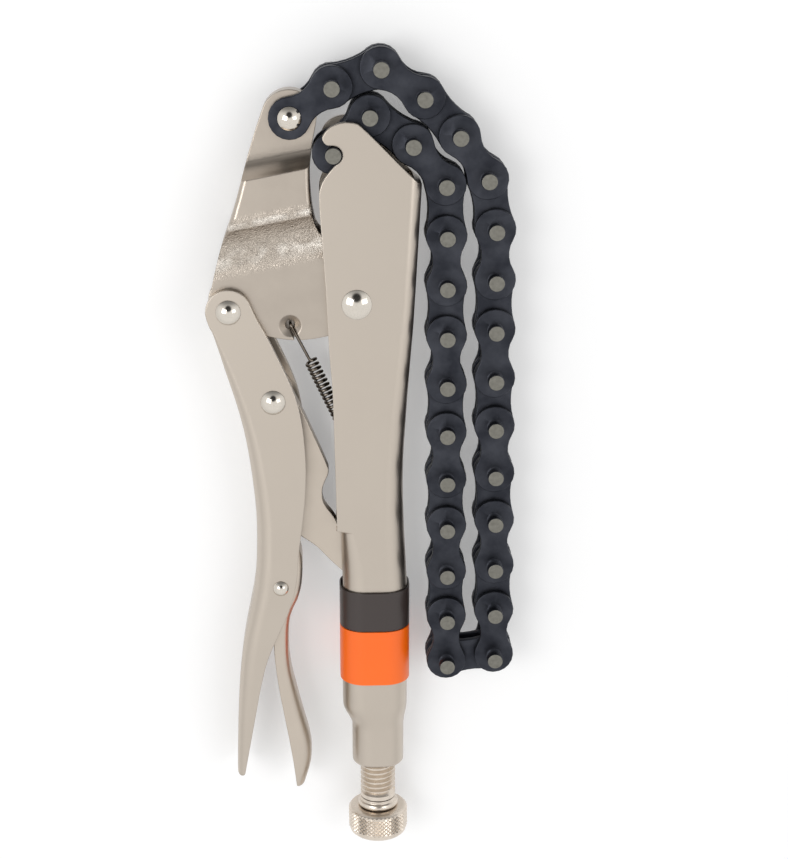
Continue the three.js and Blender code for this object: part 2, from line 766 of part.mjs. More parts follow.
function springPath() {
  const [startX, startY] = jaw.springHole;
  const [endX, endY] = spring.lug;
  const run = Math.hypot(endX - startX, endY - startY);
  const forward = new THREE.Vector3((endX - startX) / run, (endY - startY) / run, 0);
  const sideways = new THREE.Vector3(-forward.y, forward.x, 0);
  const up = new THREE.Vector3(0, 0, 1);
  const origin = new THREE.Vector3(startX, startY, 0);
  const point = (along, turn, radius = spring.coilRadius) => origin.clone()
    .addScaledVector(forward, along)
    .addScaledVector(up, radius * Math.cos(turn))
    .addScaledVector(sideways, radius * Math.sin(turn));
  const raised = (along, height) => origin.clone().addScaledVector(forward, along).addScaledVector(up, height);
  const bendTurn = spring.bend / spring.coilRadius;
  const quarter = [0, 22.5, 45, 67.5, 90].map((angle) => angle * degree);
  const coilStart = spring.legLength;
  const coilLength = spring.turns * spring.pitch;
  const coilTurn = 2 * Math.PI * Math.round(spring.turns) - 2 * bendTurn;
  const jawTop = jawHalf - jaw.countersinkRadius + spring.wireRadius + clearance;
  const steps = 8 * Math.round(spring.turns);
  return [
    raised(0, jawTop - spring.bend - spring.anchorDepth),
    ...quarter.map((angle) => raised(spring.bend * (1 - Math.cos(angle)), jawTop - spring.bend * (1 - Math.sin(angle)))),
    raised(coilStart / 2, (jawTop + spring.coilRadius) / 2),
    ...quarter.map((angle) => point(coilStart - spring.bend * (1 - Math.sin(angle)), bendTurn * (1 - Math.cos(angle)))),
    ...Array.from({ length: steps - 1 }, (_, i) => (i + 1) / steps).map(
      (share) => point(coilStart + coilLength * share, bendTurn + coilTurn * share),
    ),
    ...quarter.map((angle) => point(
      coilStart + coilLength + spring.bend * (1 - Math.cos(angle)),
      bendTurn + coilTurn + bendTurn * Math.sin(angle),
    )),
    ...quarter.map((angle) => raised(
      run - spring.bend * (1 - Math.sin(angle)),
      spring.coilRadius - spring.bend * (1 - Math.cos(angle)),
    )),
    raised(run, spring.coilRadius - spring.bend - spring.anchorDepth),
  ];
}

// The wire's least gap to itself, between points more than half a turn apart along it
function leastGap(path) {
  const apart = Math.PI * spring.coilRadius;
  const travelled = path.reduce((sums, place, i) => [...sums, i ? sums[i - 1] + place.distanceTo(path[i - 1]) : 0], []);
  let least = Infinity;
  for (let i = 0; i < path.length; i += 1) {
    for (let j = i + 1; j < path.length; j += 1) {
      if (travelled[j] - travelled[i] > apart) least = Math.min(least, path[i].distanceTo(path[j]));
    }
  }
  return least - 2 * spring.wireRadius;
}

// A round wire along a path of points, carried without twist
function wire(path, radius, sides) {
  const tangents = path.map((_, i) => path[Math.min(i + 1, path.length - 1)].clone()
    .sub(path[Math.max(i - 1, 0)]).normalize());
  const side = new THREE.Vector3(1, 0, 0).cross(tangents[0]).normalize();
  const points = [];
  path.forEach((place, i) => {
    if (i > 0) side.applyQuaternion(new THREE.Quaternion().setFromUnitVectors(tangents[i - 1], tangents[i]));
    side.addScaledVector(tangents[i], -side.dot(tangents[i])).normalize();
    const other = tangents[i].clone().cross(side);
    for (let k = 0; k < sides; k += 1) {
      const angle = 2 * Math.PI * k / sides;
      points.push(place.clone().addScaledVector(side, radius * Math.cos(angle))
        .addScaledVector(other, radius * Math.sin(angle)));
    }
  });
  const index = [];
  for (let i = 0; i < path.length - 1; i += 1) {
    for (let k = 0; k < sides; k += 1) {
      const a = i * sides + k;
      const b = i * sides + (k + 1) % sides;
      index.push(a, b, a + sides, b, b + sides, a + sides);
    }
  }
  const last = (path.length - 1) * sides;
  for (let k = 1; k < sides - 1; k += 1) {
    index.push(0, k + 1, k);
    index.push(last, last + k, last + k + 1);
  }
  const geometry = new THREE.BufferGeometry().setFromPoints(points);
  geometry.setIndex(index);
  return solid(geometry);
}

// Materials

function metal(color, roughness) {
  return new THREE.MeshStandardMaterial({ color, roughness, metalness: 1, flatShading: true });
}

const satinNickel = metal(0xc4baaf, 0.34);
const forgedNickel = metal(0xb9afa2, 0.42);
const brightSteel = metal(0xd8d4cc, 0.16);
const turnedSteel = metal(0xa89a8c, 0.36);
const blackedSteel = metal(0x33353c, 0.44);
const springSteel = metal(0x5a5650, 0.3);
const blackBand = new THREE.MeshStandardMaterial({ color: 0x4a423e, roughness: 0.5, metalness: 0 });
const orangeBand = new THREE.MeshStandardMaterial({ color: 0xff7a2a, roughness: 0.45, metalness: 0 });

// Assembly: each moving group turns about its own origin

function turning(parent, [x, y], [parentX, parentY] = [0, 0]) {
  const group = new THREE.Group();
  group.position.set(x - parentX, y - parentY, 0);
  parent.add(group);
  return group;
}

const tool = new THREE.Group();
tool.add(
  piece('main_handle', makeHandle(), satinNickel),
  piece('pivot_rivet', rivet([0, 0], rivets.pivot, handleHalf, toolHalf, 20), brightSteel),
  piece('black_band', makeBand(bands.top, bands.blackWidth), blackBand),
  piece('orange_band', makeBand(bands.top - bands.blackWidth - bands.gap, bands.orangeWidth), orangeBand),
  piece('screw_collar', makeCollar(), turnedSteel),
  piece('adjusting_screw', makeScrew(), turnedSteel),
  piece('adjusting_knob', makeKnob(), turnedSteel),
);

const springWire = springPath();
console.log(`return spring: least gap to itself ${leastGap(springWire).toFixed(3)} mm`);
tool.add(piece('return_spring', wire(springWire, spring.wireRadius, 5), springSteel));

const jawGroup = turning(tool, [0, 0]);
jawGroup.add(
  piece('movable_jaw', makeJaw(), forgedNickel),
  piece('chain_rivet', rivet(jaw.eye, rivets.chain, chainHalf, chainHalf + rivets.chainHeadHeight), brightSteel),
  piece('lever_rivet', rivet(lever.pivot, rivets.lever, leverHalf, toolHalf), brightSteel),
);

const leverGroup = turning(jawGroup, lever.pivot);
leverGroup.add(
  piece('lever', makeLever(), satinNickel, lever.pivot),
  piece('link_rivet', rivet(toggle.pivot, rivets.link, leverHalf, toolHalf), brightSteel, lever.pivot),
  piece('trigger_rivet', rivet(trigger.pivot, rivets.trigger, leverHalf, toolHalf - clearance), brightSteel, lever.pivot),
);

const toggleGroup = turning(leverGroup, toggle.pivot, lever.pivot);
toggleGroup.add(piece('toggle_link', makeToggle(), satinNickel, toggle.pivot));

const triggerGroup = turning(leverGroup, trigger.pivot, lever.pivot);
triggerGroup.add(piece('release_trigger', makeTrigger(), satinNickel, trigger.pivot));

// Each link turns on the far pin of the link before it, and the first on the jaw's rivet
const { headings } = layChain();
let carrier = jawGroup;
headings.forEach((heading, i) => {
  const group = new THREE.Group();
  group.position.set(...(i ? [chain.pitch, 0, 0] : [...jaw.eye, 0]));
  group.rotation.z = heading - (i ? headings[i - 1] : 0);
  const number = String(i + 1).padStart(2, '0');
  const outer = i % 2 === 0;
  const name = outer ? `outer_link_${number}` : `inner_link_${number}`;
  group.add(piece(name, outer ? outerLink(i === 0) : innerLink(), blackedSteel));
  carrier.add(group);
  carrier = group;
});

// The tool rests on its pins and rivets
const extent = new THREE.Box3().setFromObject(tool);
const middle = extent.getCenter(new THREE.Vector3());
tool.position.set(-middle.x, -middle.y, -extent.min.z);

const chainClamp = new THREE.Group();
chainClamp.add(tool);

export default chainClamp;
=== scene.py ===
"""A locking chain clamp that lies flat on its side, locked shut, with its chain folded back along the handle.

Each piece is drawn in millimetres around the jaw's pivot, with +Y running from the knob to the jaw and +X
from the lever to the chain, and is moved to its place in the model at the end.
"""
import math

import bmesh
import bpy
from mathutils import Matrix, Vector
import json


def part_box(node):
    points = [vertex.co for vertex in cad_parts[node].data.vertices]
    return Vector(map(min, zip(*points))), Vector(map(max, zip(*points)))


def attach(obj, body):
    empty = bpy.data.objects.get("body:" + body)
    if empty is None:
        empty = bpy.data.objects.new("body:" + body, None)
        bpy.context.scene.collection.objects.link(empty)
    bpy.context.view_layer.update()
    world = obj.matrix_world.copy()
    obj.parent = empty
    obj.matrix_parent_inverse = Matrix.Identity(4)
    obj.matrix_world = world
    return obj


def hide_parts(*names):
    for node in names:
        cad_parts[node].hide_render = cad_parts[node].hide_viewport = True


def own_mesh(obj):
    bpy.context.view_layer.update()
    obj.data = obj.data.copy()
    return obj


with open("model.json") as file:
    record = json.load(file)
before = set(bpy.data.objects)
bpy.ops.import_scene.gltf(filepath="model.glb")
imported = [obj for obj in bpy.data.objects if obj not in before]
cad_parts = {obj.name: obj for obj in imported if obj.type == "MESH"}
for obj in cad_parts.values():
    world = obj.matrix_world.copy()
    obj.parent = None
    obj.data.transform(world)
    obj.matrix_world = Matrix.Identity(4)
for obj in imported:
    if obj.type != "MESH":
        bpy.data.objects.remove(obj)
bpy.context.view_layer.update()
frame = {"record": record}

# The rivet of the jaw's pivot is the origin of the drawing
lowest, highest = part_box("pivot_rivet")
DRAWING = Matrix.Translation((lowest + highest) / 2) @ Matrix.Scale(0.001, 4)

# Heights above and below the middle of the tool
PIN_END = 11.6
HANDLE_FACE = 10.0
LEVER_FACE = 9.8
JAW_FACE = 7.3
JAW_EYE = 3.6
PLATEAU_HALF = 9.6
PLATE_INNER, PLATE_OUTER, PLATE = 1.7, 3.9, 1.9
# How far a cutter or a blank reaches either side of the middle, past every face
REACH = 13.0

# Places in the drawing
PIVOT = (0.0, 0.0)
CHAIN_EYE = (-20.0, 56.8)
LEVER_PIVOT = (-39.8, -2.2)
LEVER_TIP = (-40.2, -163.4)
TOGGLE_PIVOT = (-26.5, -31.3)
TOGGLE_NOSE = (4.0, -103.0)
TRIGGER_PIVOT = (-25.2, -94.2)
TRIGGER_TIP = (-19.6, -168.3)
NOTCH = (-6.9, 46.2)
SPRING_HOLE = (-20.8, -7.1)
SPRING_LUG = (5.0, -62.0)
# The ends of the jaw's thick part, measured along the jaw, which leans by this angle
PLATEAU_TOP, PLATEAU_BOTTOM, JAW_TILT = 44.3, 30.1, math.radians(11)
SCREW_AXIS = 6.4
TUBE_AXIS, TUBE_RADIUS = 5.4, 10.7
# The tube isn't quite round: it stays a little flat where the walls run down into it
TUBE_HALF, TUBE_CORNER = 9.7, 7.6
PITCH = 15.875
LEAD = 1.75

# The radii of the holes that the rivets pass through
PIVOT_BORE, LINK_BORE, TRIGGER_BORE, EYE_BORE = 3.9, 2.9, 2.0, 2.5


# Materials. Each pattern's scale is in grains or rings to the metre

def linear(hex_colour):
    """An sRGB hex colour as linear red, green, blue and alpha."""
    channels = [int(hex_colour[i:i + 2], 16) / 255 for i in (1, 3, 5)]
    return [c / 12.92 if c <= 0.04045 else ((c + 0.055) / 1.055) ** 2.4 for c in channels] + [1.0]


def node(owner, kind, inputs=(), **settings):
    """Adds a shader node to a material or world, with its settings and its inputs as (socket, value) pairs.

    A value is a plain one, a socket to link from, or a node, which stands for its first output in use.
    """
    made = owner.node_tree.nodes.new("ShaderNode" + kind)
    for name, setting in settings.items():
        setattr(made, name, setting)
    for socket, value in inputs:
        if isinstance(value, bpy.types.Node):
            value = next(output for output in value.outputs if output.enabled)
        if isinstance(value, bpy.types.NodeSocket):
            owner.node_tree.links.new(value, made.inputs[socket])
        else:
            made.inputs[socket].default_value = value
    return made


def finished(name, feeds, *choices):
    """A material by this name, whose surface takes the inputs that feeds(material, place, *choices) gives.

    The place is the socket of the surface's coordinates.
    """
    material = bpy.data.materials.new(name)
    material.use_nodes = True
    material.node_tree.nodes.clear()
    place = node(material, "TexCoord").outputs["Object"]
    surface = node(material, "BsdfPrincipled", feeds(material, place, *choices))
    node(material, "OutputMaterial", [("Surface", surface)])
    return material


def nickel_plated_steel(material, place, colour, roughness, cloud=14.0):
    """Steel plated with dull nickel: warm grey, satin, hardly cloudy, with a skin like very fine sand.

    The true skin is too fine to see here, so its grain is drawn a millimetre coarse and very shallow. Grain
    and clouds are given in millimetres.
    """
    grain, grain_depth, dullness, gloss_drift = 1.2, 0.0015, 0.94, 0.02
    clouds = node(material, "TexNoise", [("Vector", place), ("Scale", 1000 / cloud), ("Detail", 3.0)])
    skin = node(material, "TexNoise", [("Vector", place), ("Scale", 1000 / grain), ("Detail", 1.0)])
    warm = linear(colour)
    dull = [c * dullness for c in warm[:3]] + [1.0]
    shade = node(material, "Mix", [("Factor", clouds), ("A", warm), ("B", dull)], data_type="RGBA")
    gloss = node(material, "MapRange", [
        ("Value", clouds), ("From Min", 0.3), ("From Max", 0.7),
        ("To Min", roughness - gloss_drift), ("To Max", roughness + gloss_drift),
    ])
    worn_edge = node(material, "Bevel", [("Radius", 0.55 / 1000)], samples=6)
    relief = node(material, "Bump", [
        ("Strength", 1.0), ("Distance", grain_depth / 1000), ("Height", skin), ("Normal", worn_edge),
    ])
    return [("Base Color", shade), ("Metallic", 1.0), ("Roughness", gloss), ("Normal", relief)]


def nickel_plated_forging(material, place):
    """A forged jaw under dull nickel: smooth where it was ground, pitted like an orange's skin on its slopes.

    Across the slope below the thick part the scale was never ground off, so the pits are deep there. A band
    across the jaw is given by two pairs of places along it, in millimetres from its pivot: where the band
    starts and where it is full, from either side.
    """
    tilted = node(material, "Mapping", [("Vector", place), ("Rotation", (0.0, 0.0, -JAW_TILT))],
                  vector_type="POINT")
    along = node(material, "SeparateXYZ", [("Vector", tilted)]).outputs["Y"]
    pivot_height = (Matrix.Rotation(-JAW_TILT, 4, "Z") @ DRAWING.translation).y

    def band(*sides, **settings):
        rises = [node(material, "MapRange", [
            ("Value", along), ("From Min", pivot_height + start / 1000),
            ("From Max", pivot_height + full / 1000),
        ], **settings) for start, full in sides]
        return node(material, "Math", enumerate(rises), operation="MULTIPLY")

    top, bottom = PLATEAU_TOP, PLATEAU_BOTTOM
    pitted = band((14.0, 20.0), (35.0, 31.5), interpolation_type="SMOOTHSTEP")
    # Painted shade: bands just above and just below the thick part, where its slopes are drawn darker
    above = band((top - 0.15, top + 0.15), (top + 5.0, top + 0.75))
    below = band((bottom + 0.15, bottom - 0.15), (bottom - 5.5, bottom - 0.75))
    # Where the painted highlights lie: the foot of the hollow and the thick part's lower edge
    foot = band((17.5, 21.0), (24.5, 21.0))
    rim = band((bottom + 0.1, bottom + 1.35), (bottom + 2.6, bottom + 1.35))

    clouds = node(material, "TexNoise", [("Vector", place), ("Scale", 130.0), ("Detail", 3.0)])
    pits = node(material, "TexNoise", [("Vector", place), ("Scale", 1000 / 0.5), ("Detail", 2.0)])
    lumps = node(material, "TexNoise", [("Vector", place), ("Scale", 1000 / 4.5), ("Detail", 1.0)])
    skin = node(material, "Math", [(0, lumps), (1, 1.6), (2, pits)], operation="MULTIPLY_ADD")
    worn_edge = node(material, "Bevel", [("Radius", 0.5 / 1000)], samples=6)
    relief = node(material, "Bump", [
        ("Strength", pitted), ("Distance", 0.55 / 1000), ("Height", skin), ("Normal", worn_edge),
    ])
    ground = node(material, "Mix", [
        ("Factor", clouds), ("A", linear("#BDB3A7")), ("B", linear("#B0A69B")),
    ], data_type="RGBA")
    # The painted shade darkens the ground colour on those slopes
    painted_shade_band = node(material, "Math", [(0, above), (1, below)], operation="MAXIMUM")
    painted_shade_colour = node(material, "Mix", [("Factor", painted_shade_band), ("A", ground), ("B", linear("#A3978A"))],
                 data_type="RGBA")
    # Painted highlights, broken into patches: at the foot of the hollow and along the thick part's lower edge
    painted_highlight_band = node(material, "Math", [(0, foot), (1, rim)], operation="MAXIMUM")
    patches = node(material, "MapRange", [("Value", clouds), ("From Min", 0.42), ("From Max", 0.6)])
    painted_highlight_mask = node(material, "Math", [(0, painted_highlight_band), (1, patches)], operation="MULTIPLY")
    shade = node(material, "Mix", [("Factor", painted_highlight_mask), ("A", painted_shade_colour), ("B", linear("#F6EFE5"))],
                 data_type="RGBA")
    gloss = node(material, "MapRange", [
        ("Value", pits), ("From Min", 0.3), ("From Max", 0.7), ("To Min", 0.28), ("To Max", 0.34),
    ])
    return [("Base Color", shade), ("Metallic", 1.0), ("Roughness", gloss), ("Normal", relief)]


def polished_rivet_steel(material, place):
    """Rivet heads set with a polished punch: close to a mirror, with faint hairline scratches."""
    hairlines = node(material, "TexNoise", [("Vector", place), ("Scale", 2600.0), ("Detail", 1.0)])
    shade = node(material, "Mix", [
        ("Factor", hairlines), ("A", linear("#DED7CD")), ("B", linear("#CFC8BD")),
    ], data_type="RGBA")
    gloss = node(material, "MapRange", [("Value", hairlines), ("To Min", 0.06), ("To Max", 0.16)])
    return [("Base Color", shade), ("Metallic", 1.0), ("Roughness", gloss)]


def turned_steel(material, place):
    """Plated steel from the lathe, with the tool's fine rings, drawn coarse enough to show."""
    rings = node(material, "TexWave", [
        ("Vector", place), ("Scale", 1000 / 0.9), ("Distortion", 0.4), ("Detail", 1.0),
    ], bands_direction="Y")
    stains = node(material, "TexNoise", [("Vector", place), ("Scale", 350.0), ("Detail", 4.0)])
    shade = node(material, "Mix", [
        ("Factor", stains), ("A", linear("#E6DCD0")), ("B", linear("#CFC3B5")),
    ], data_type="RGBA")
    gloss = node(material, "MapRange", [("Value", stains), ("To Min", 0.2), ("To Max", 0.38)])
    relief = node(material, "Bump", [
        ("Strength", 0.25), ("Distance", 0.01 / 1000), ("Height", rings.outputs["Fac"]),
    ])
    return [("Base Color", shade), ("Metallic", 1.0), ("Roughness", gloss), ("Normal", relief)]


def black_oxide_steel(material, place):
    """Chain plates blacked in a hot bath and oiled: blue-black, satin, cloudy where the oil has dried."""
    oil = node(material, "TexNoise", [("Vector", place), ("Scale", 160.0), ("Detail", 5.0)])
    skin = node(material, "TexNoise", [("Vector", place), ("Scale", 3200.0), ("Detail", 2.0)])
    shade = node(material, "ValToRGB", [("Fac", oil)])
    for stop, position, colour in zip(shade.color_ramp.elements, (0.35, 0.68), ("#2C2E35", "#43454C")):
        stop.position, stop.color = position, linear(colour)
    gloss = node(material, "MapRange", [
        ("Value", oil), ("From Min", 0.3), ("From Max", 0.7), ("To Min", 0.38), ("To Max", 0.52),
    ])
    relief = node(material, "Bump", [("Strength", 0.3), ("Distance", 0.015 / 1000), ("Height", skin)])
    return [("Base Color", shade), ("Metallic", 0.85), ("Roughness", gloss), ("Normal", relief)]


def sheared_pin_steel(material, place):
    """Pin ends as the shear left them: bare grey steel, matt and mottled."""
    mottle = node(material, "TexNoise", [("Vector", place), ("Scale", 900.0), ("Detail", 2.0)])
    shade = node(material, "Mix", [
        ("Factor", mottle), ("A", linear("#8D8B83")), ("B", linear("#6C6A63")),
    ], data_type="RGBA")
    relief = node(material, "Bump", [("Strength", 0.4), ("Distance", 0.04 / 1000), ("Height", mottle)])
    return [("Base Color", shade), ("Metallic", 1.0), ("Roughness", 0.5), ("Normal", relief)]


def drawn_spring_wire(material, place):
    """Hard-drawn spring wire: dark grey steel with a soft shine along its length."""
    streaks = node(material, "TexNoise", [("Vector", place), ("Scale", 700.0), ("Detail", 2.0)])
    shade = node(material, "Mix", [
        ("Factor", streaks), ("A", linear("#9B9288")), ("B", linear("#6E665D")),
    ], data_type="RGBA")
    return [("Base Color", shade), ("Metallic", 1.0), ("Roughness", 0.24)]


def printed_vinyl(material, place, colour, shadow):
    """A vinyl sleeve shrunk on the tube: even colour, soft gloss, hardly any texture."""
    drift = node(material, "TexNoise", [("Vector", place), ("Scale", 60.0), ("Detail", 1.0)])
    orange_peel = node(material, "TexNoise", [("Vector", place), ("Scale", 900.0), ("Detail", 1.0)])
    shade = node(material, "Mix", [("Factor", drift), ("A", linear(colour)), ("B", linear(shadow))],
                 data_type="RGBA")
    relief = node(material, "Bump", [("Strength", 0.15), ("Distance", 0.01 / 1000), ("Height", orange_peel)])
    return [("Base Color", shade), ("Metallic", 0.0), ("Roughness", 0.34), ("IOR", 1.53), ("Normal", relief)]


SHEET = finished("nickel_plated_sheet_steel", nickel_plated_steel, "#C5BBAF", 0.33)
LINK_STEEL = finished("nickel_plated_link_steel", nickel_plated_steel, "#C9BEB1", 0.34, 6.0)
FORGING = finished("nickel_plated_forging", nickel_plated_forging)
RIVET = finished("polished_rivet_steel", polished_rivet_steel)
TURNED = finished("turned_steel", turned_steel)
BLACKED = finished("black_oxide_steel", black_oxide_steel)
PIN_FACE = finished("sheared_pin_steel", sheared_pin_steel)
SPRING = finished("drawn_spring_wire", drawn_spring_wire)
BLACK_SLEEVE = finished("black_vinyl", printed_vinyl, "#3A302D", "#342B28")
ORANGE_SLEEVE = finished("orange_vinyl", printed_vinyl, "#FF6E00", "#FC6800")


# Shaping

def beside(start, end, breadth, shares):
    """Points given as shares of the run from start to end, and of a breadth to its left."""
    run = Vector(end) - Vector(start)
    left = Vector((-run.y, run.x)).normalized() * breadth
    return [Vector(start) + run * along + left * aside for along, aside in shares]


def arc(centre, radius, start, end, steps):
    """Points on an arc, from one angle to another in degrees."""
    angles = [math.radians(start + (end - start) * i / steps) for i in range(steps + 1)]
    return [Vector((centre[0] + radius * math.cos(a), centre[1] + radius * math.sin(a))) for a in angles]


def eased(table, y):
    """The value at y on a smooth curve through (y, value) pairs that run downwards."""
    if y >= table[0][0]:
        return table[0][1]
    if y <= table[-1][0]:
        return table[-1][1]
    i = next(i for i in range(1, len(table)) if table[i][0] <= y)
    around = [table[max(i - 2, 0)], table[i - 1], table[i], table[min(i + 1, len(table) - 1)]]
    (y0, v0), (y1, v1), (y2, v2), (y3, v3) = around
    t = (y - y1) / (y2 - y1)
    slope1 = (v2 - v0) / (y2 - y0) * (y2 - y1)
    slope2 = (v3 - v1) / (y3 - y1) * (y2 - y1)
    return ((2 * t ** 3 - 3 * t ** 2 + 1) * v1 + (t ** 3 - 2 * t ** 2 + t) * slope1
            + (3 * t ** 2 - 2 * t ** 3) * v2 + (t ** 3 - t ** 2) * slope2)


def among(items, kind):
    """The items of one kind, such as the corners among what an operator made."""
    return [item for item in items if isinstance(item, kind)]


def level_edges(bm):
    """The edges round a plate's two flat faces."""
    return [edge for edge in bm.edges if edge.verts[0].co.z == edge.verts[1].co.z]


def rounded(bm, edges, offset, segments=3):
    """Rounds these edges by the offset."""
    bmesh.ops.bevel(bm, geom=edges, offset=offset, offset_type="OFFSET", affect="EDGES", segments=segments,
                    profile=0.5, material=-1)


def blank(outline, low=-REACH, high=REACH, flowing=True):
    """A plate with this outline. In a flowing one, each corner is rounded from edge middle to edge middle."""
    bm = bmesh.new()
    corners = [bm.verts.new((x, y, low)) for x, y in outline]
    bm.faces.new(corners)
    if flowing:
        bmesh.ops.bevel(bm, geom=corners, offset=49.5, offset_type="PERCENT", affect="VERTICES",
                        segments=4, profile=0.5, material=-1)
        bmesh.ops.remove_doubles(bm, verts=bm.verts, dist=0.03)
    grown = bmesh.ops.extrude_face_region(bm, geom=bm.faces[:])["geom"]
    bmesh.ops.translate(bm, verts=among(grown, bmesh.types.BMVert), vec=(0, 0, high - low))
    bmesh.ops.recalc_face_normals(bm, faces=bm.faces)
    return bm


def rod(centre, radius, low=-REACH, high=REACH, top_radius=None, segments=48):
    """A round rod square to the tool's flat side, or a cone where the two radii differ."""
    bm = bmesh.new()
    place = Matrix.Translation((*centre, (low + high) / 2))
    bmesh.ops.create_cone(bm, cap_ends=True, segments=segments, radius1=radius, radius2=top_radius or radius,
                          depth=high - low, matrix=place)
    return bm


def block(low, high):
    """A block between two corners."""
    bm = bmesh.new()
    middle, size = (Vector(low) + Vector(high)) / 2, Vector(high) - Vector(low)
    bmesh.ops.create_cube(bm, size=1.0, matrix=Matrix.Translation(middle) @ Matrix.Diagonal((*size, 1.0)))
    return bm


def turned(profile, axis=SCREW_AXIS, steps=72):
    """A solid of revolution about the line x = axis along the tool, from (radius, y) pairs."""
    bm = bmesh.new()
    verts = [bm.verts.new((axis + r, y, 0.0)) for r, y in profile]
    edges = [bm.edges.new(pair) for pair in zip(verts, verts[1:])]
    bmesh.ops.spin(bm, geom=verts + edges, cent=(axis, 0, 0), axis=(0, 1, 0), angle=2 * math.pi, steps=steps,
                   use_merge=True)
    bmesh.ops.remove_doubles(bm, verts=bm.verts, dist=0.001)
    bmesh.ops.recalc_face_normals(bm, faces=bm.faces)
    return bm


def as_object(bm, name):
    """The bmesh as an object in the scene."""
    mesh = bpy.data.meshes.new(name)
    bm.to_mesh(mesh)
    bm.free()
    made = bpy.data.objects.new(name, mesh)
    bpy.context.scene.collection.objects.link(made)
    return made


def fitted(bm, *tools, operation="DIFFERENCE"):
    """The solid after each tool has cut it, joined it or trimmed it."""
    body = as_object(bm, "work")
    helpers = [as_object(tool, "tool") for tool in tools]
    for helper in helpers:
        step = body.modifiers.new("fit", "BOOLEAN")
        step.object, step.operation, step.solver = helper, operation, "EXACT"
    result = bmesh.new()
    result.from_mesh(body.evaluated_get(bpy.context.evaluated_depsgraph_get()).to_mesh())
    for used in (body, *helpers):
        bpy.data.meshes.remove(used.data)
    bmesh.ops.remove_doubles(result, verts=result.verts, dist=0.002)
    bmesh.ops.dissolve_limit(result, angle_limit=math.radians(0.2), verts=result.verts, edges=result.edges)
    return result


def piece(bm, name, body, materials, nodes, edge=0.0, segments=3, crisp=None):
    """Puts a finished solid in the scene on its body, with its sharp edges eased, for its CAD nodes."""
    bm.transform(DRAWING)
    made = as_object(bm, name)
    for material in materials:
        made.data.materials.append(material)
    made.data.shade_smooth()
    if crisp:
        made.data.set_sharp_from_angle(angle=math.radians(crisp))
    if edge:
        ease = made.modifiers.new("eased_edges", "BEVEL")
        ease.width, ease.segments, ease.harden_normals = edge / 1000, segments, True
        ease.limit_method, ease.angle_limit = "ANGLE", math.radians(32)
    level = made.modifiers.new("even_shading", "WEIGHTED_NORMAL")
    level.keep_sharp = True
    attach(made, body)
    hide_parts(*nodes)
    return made


def hoop(bm, y, left, right, half, left_corner, right_corner):
    """A ring across the tool: a circle whose quarters are moved apart into a rectangle's round corners."""
    segments = 48
    start = math.pi / segments
    ring = bmesh.ops.create_circle(bm, segments=segments, radius=1.0,
                                   matrix=Matrix.Rotation(start, 4, "Z"))["verts"]
    # The points of a quarter are spread so that the first and the last lie where the flats begin
    spread = (math.pi / 2) / (math.pi / 2 - 2 * start)
    for vert in ring:
        x, z = vert.co.x, vert.co.y
        turn = (math.atan2(abs(z), abs(x)) - start) * spread
        corner = right_corner if x > 0 else left_corner
        side = right - right_corner if x > 0 else left + left_corner
        vert.co = (side + math.copysign(corner * math.cos(turn), x), y,
                   math.copysign(half - corner + corner * math.sin(turn), z))
    return list({edge for vert in ring for edge in vert.link_edges})


def skin(hoops):
    """A closed skin over rings across the tool, each given by its y, left, right, half and two corners."""
    bm = bmesh.new()
    rings = [hoop(bm, *measures) for measures in hoops]
    for one, other in zip(rings, rings[1:]):
        bmesh.ops.bridge_loops(bm, edges=one + other)
    for end in (rings[0], rings[-1]):
        bmesh.ops.contextual_create(bm, geom=end)
    bmesh.ops.recalc_face_normals(bm, faces=bm.faces)
    return bm


def run(start, end, step):
    """Places from start down to end, evenly spaced and about a step apart."""
    count = max(1, round(abs(end - start) / step))
    return [start + (end - start) * i / count for i in range(count + 1)]


# Handle: one pressing of 2.4 mm sheet, open towards the lever and rolled into a tube below

SHEET_THICKNESS = 2.4
HEAD_LEFT, HEAD_RIGHT, SPINE_TOP = -11.5, 20.3, 38.0
TUBE_START, TUBE_ROUND = -72.0, -96.0
# The walls end here, above the round tube
WALL_END = TUBE_START - 1.5 * SHEET_THICKNESS
SHOULDER, NECK_TOP, NECK_END = -138.0, -147.0, -160.5
# The neck's radius, half its height and the radius of its corners
NECK = (8.6, 8.6, 7.2)
NECK_RIM, SCREW_BORE = 1.2, 6.25
SLOT_END, SLOT_HALF = -99.0, 4.0
LUG_RADIUS, LUG_HALF, LUG_BORE = 3.5, 0.9, 0.8
HOOK_HEIGHT, NOTCH_RADIUS = 9.9, 2.92
HOOK_SHARES = [
    (-0.19, 0.29), (-0.34, 0.47), (-0.31, 0.61), (-0.14, 0.82), (0.07, 0.94), (0.3, 1), (0.52, 1),
    (0.7, 0.97), (0.84, 0.91),
]
THROAT_SHARES = [(-0.46, -1.26), (-0.4, -0.95), (-0.25, -0.66)]
WALL_EDGE_SHARES = [
    (1, 1), (0.85, 0.68), (0.78, 0.56), (0.6, 0.48), (0.45, 0.32), (0.34, 0.22), (0.15, 0.11),
]
# The spine's outer face and the radius of its corners, down the run from its top to the round tube
SPINE_EDGE_SHARES = [
    (0, 1), (0.2, 0.65), (0.34, 0.4), (0.46, 0.1), (0.6, -0.2), (0.7, -0.35), (0.81, -0.3), (0.91, -0.15),
    (1, 0),
]
SPINE_CORNER_SHARES = [
    (0, 0.5), (0.25, 0.54), (0.4, 0.62), (0.55, 0.75), (0.72, 0.88), (0.85, 0.96), (1, 1),
]
# The least rounding of a corner, so that each ring keeps its points apart
LEAST_CORNER = 0.6


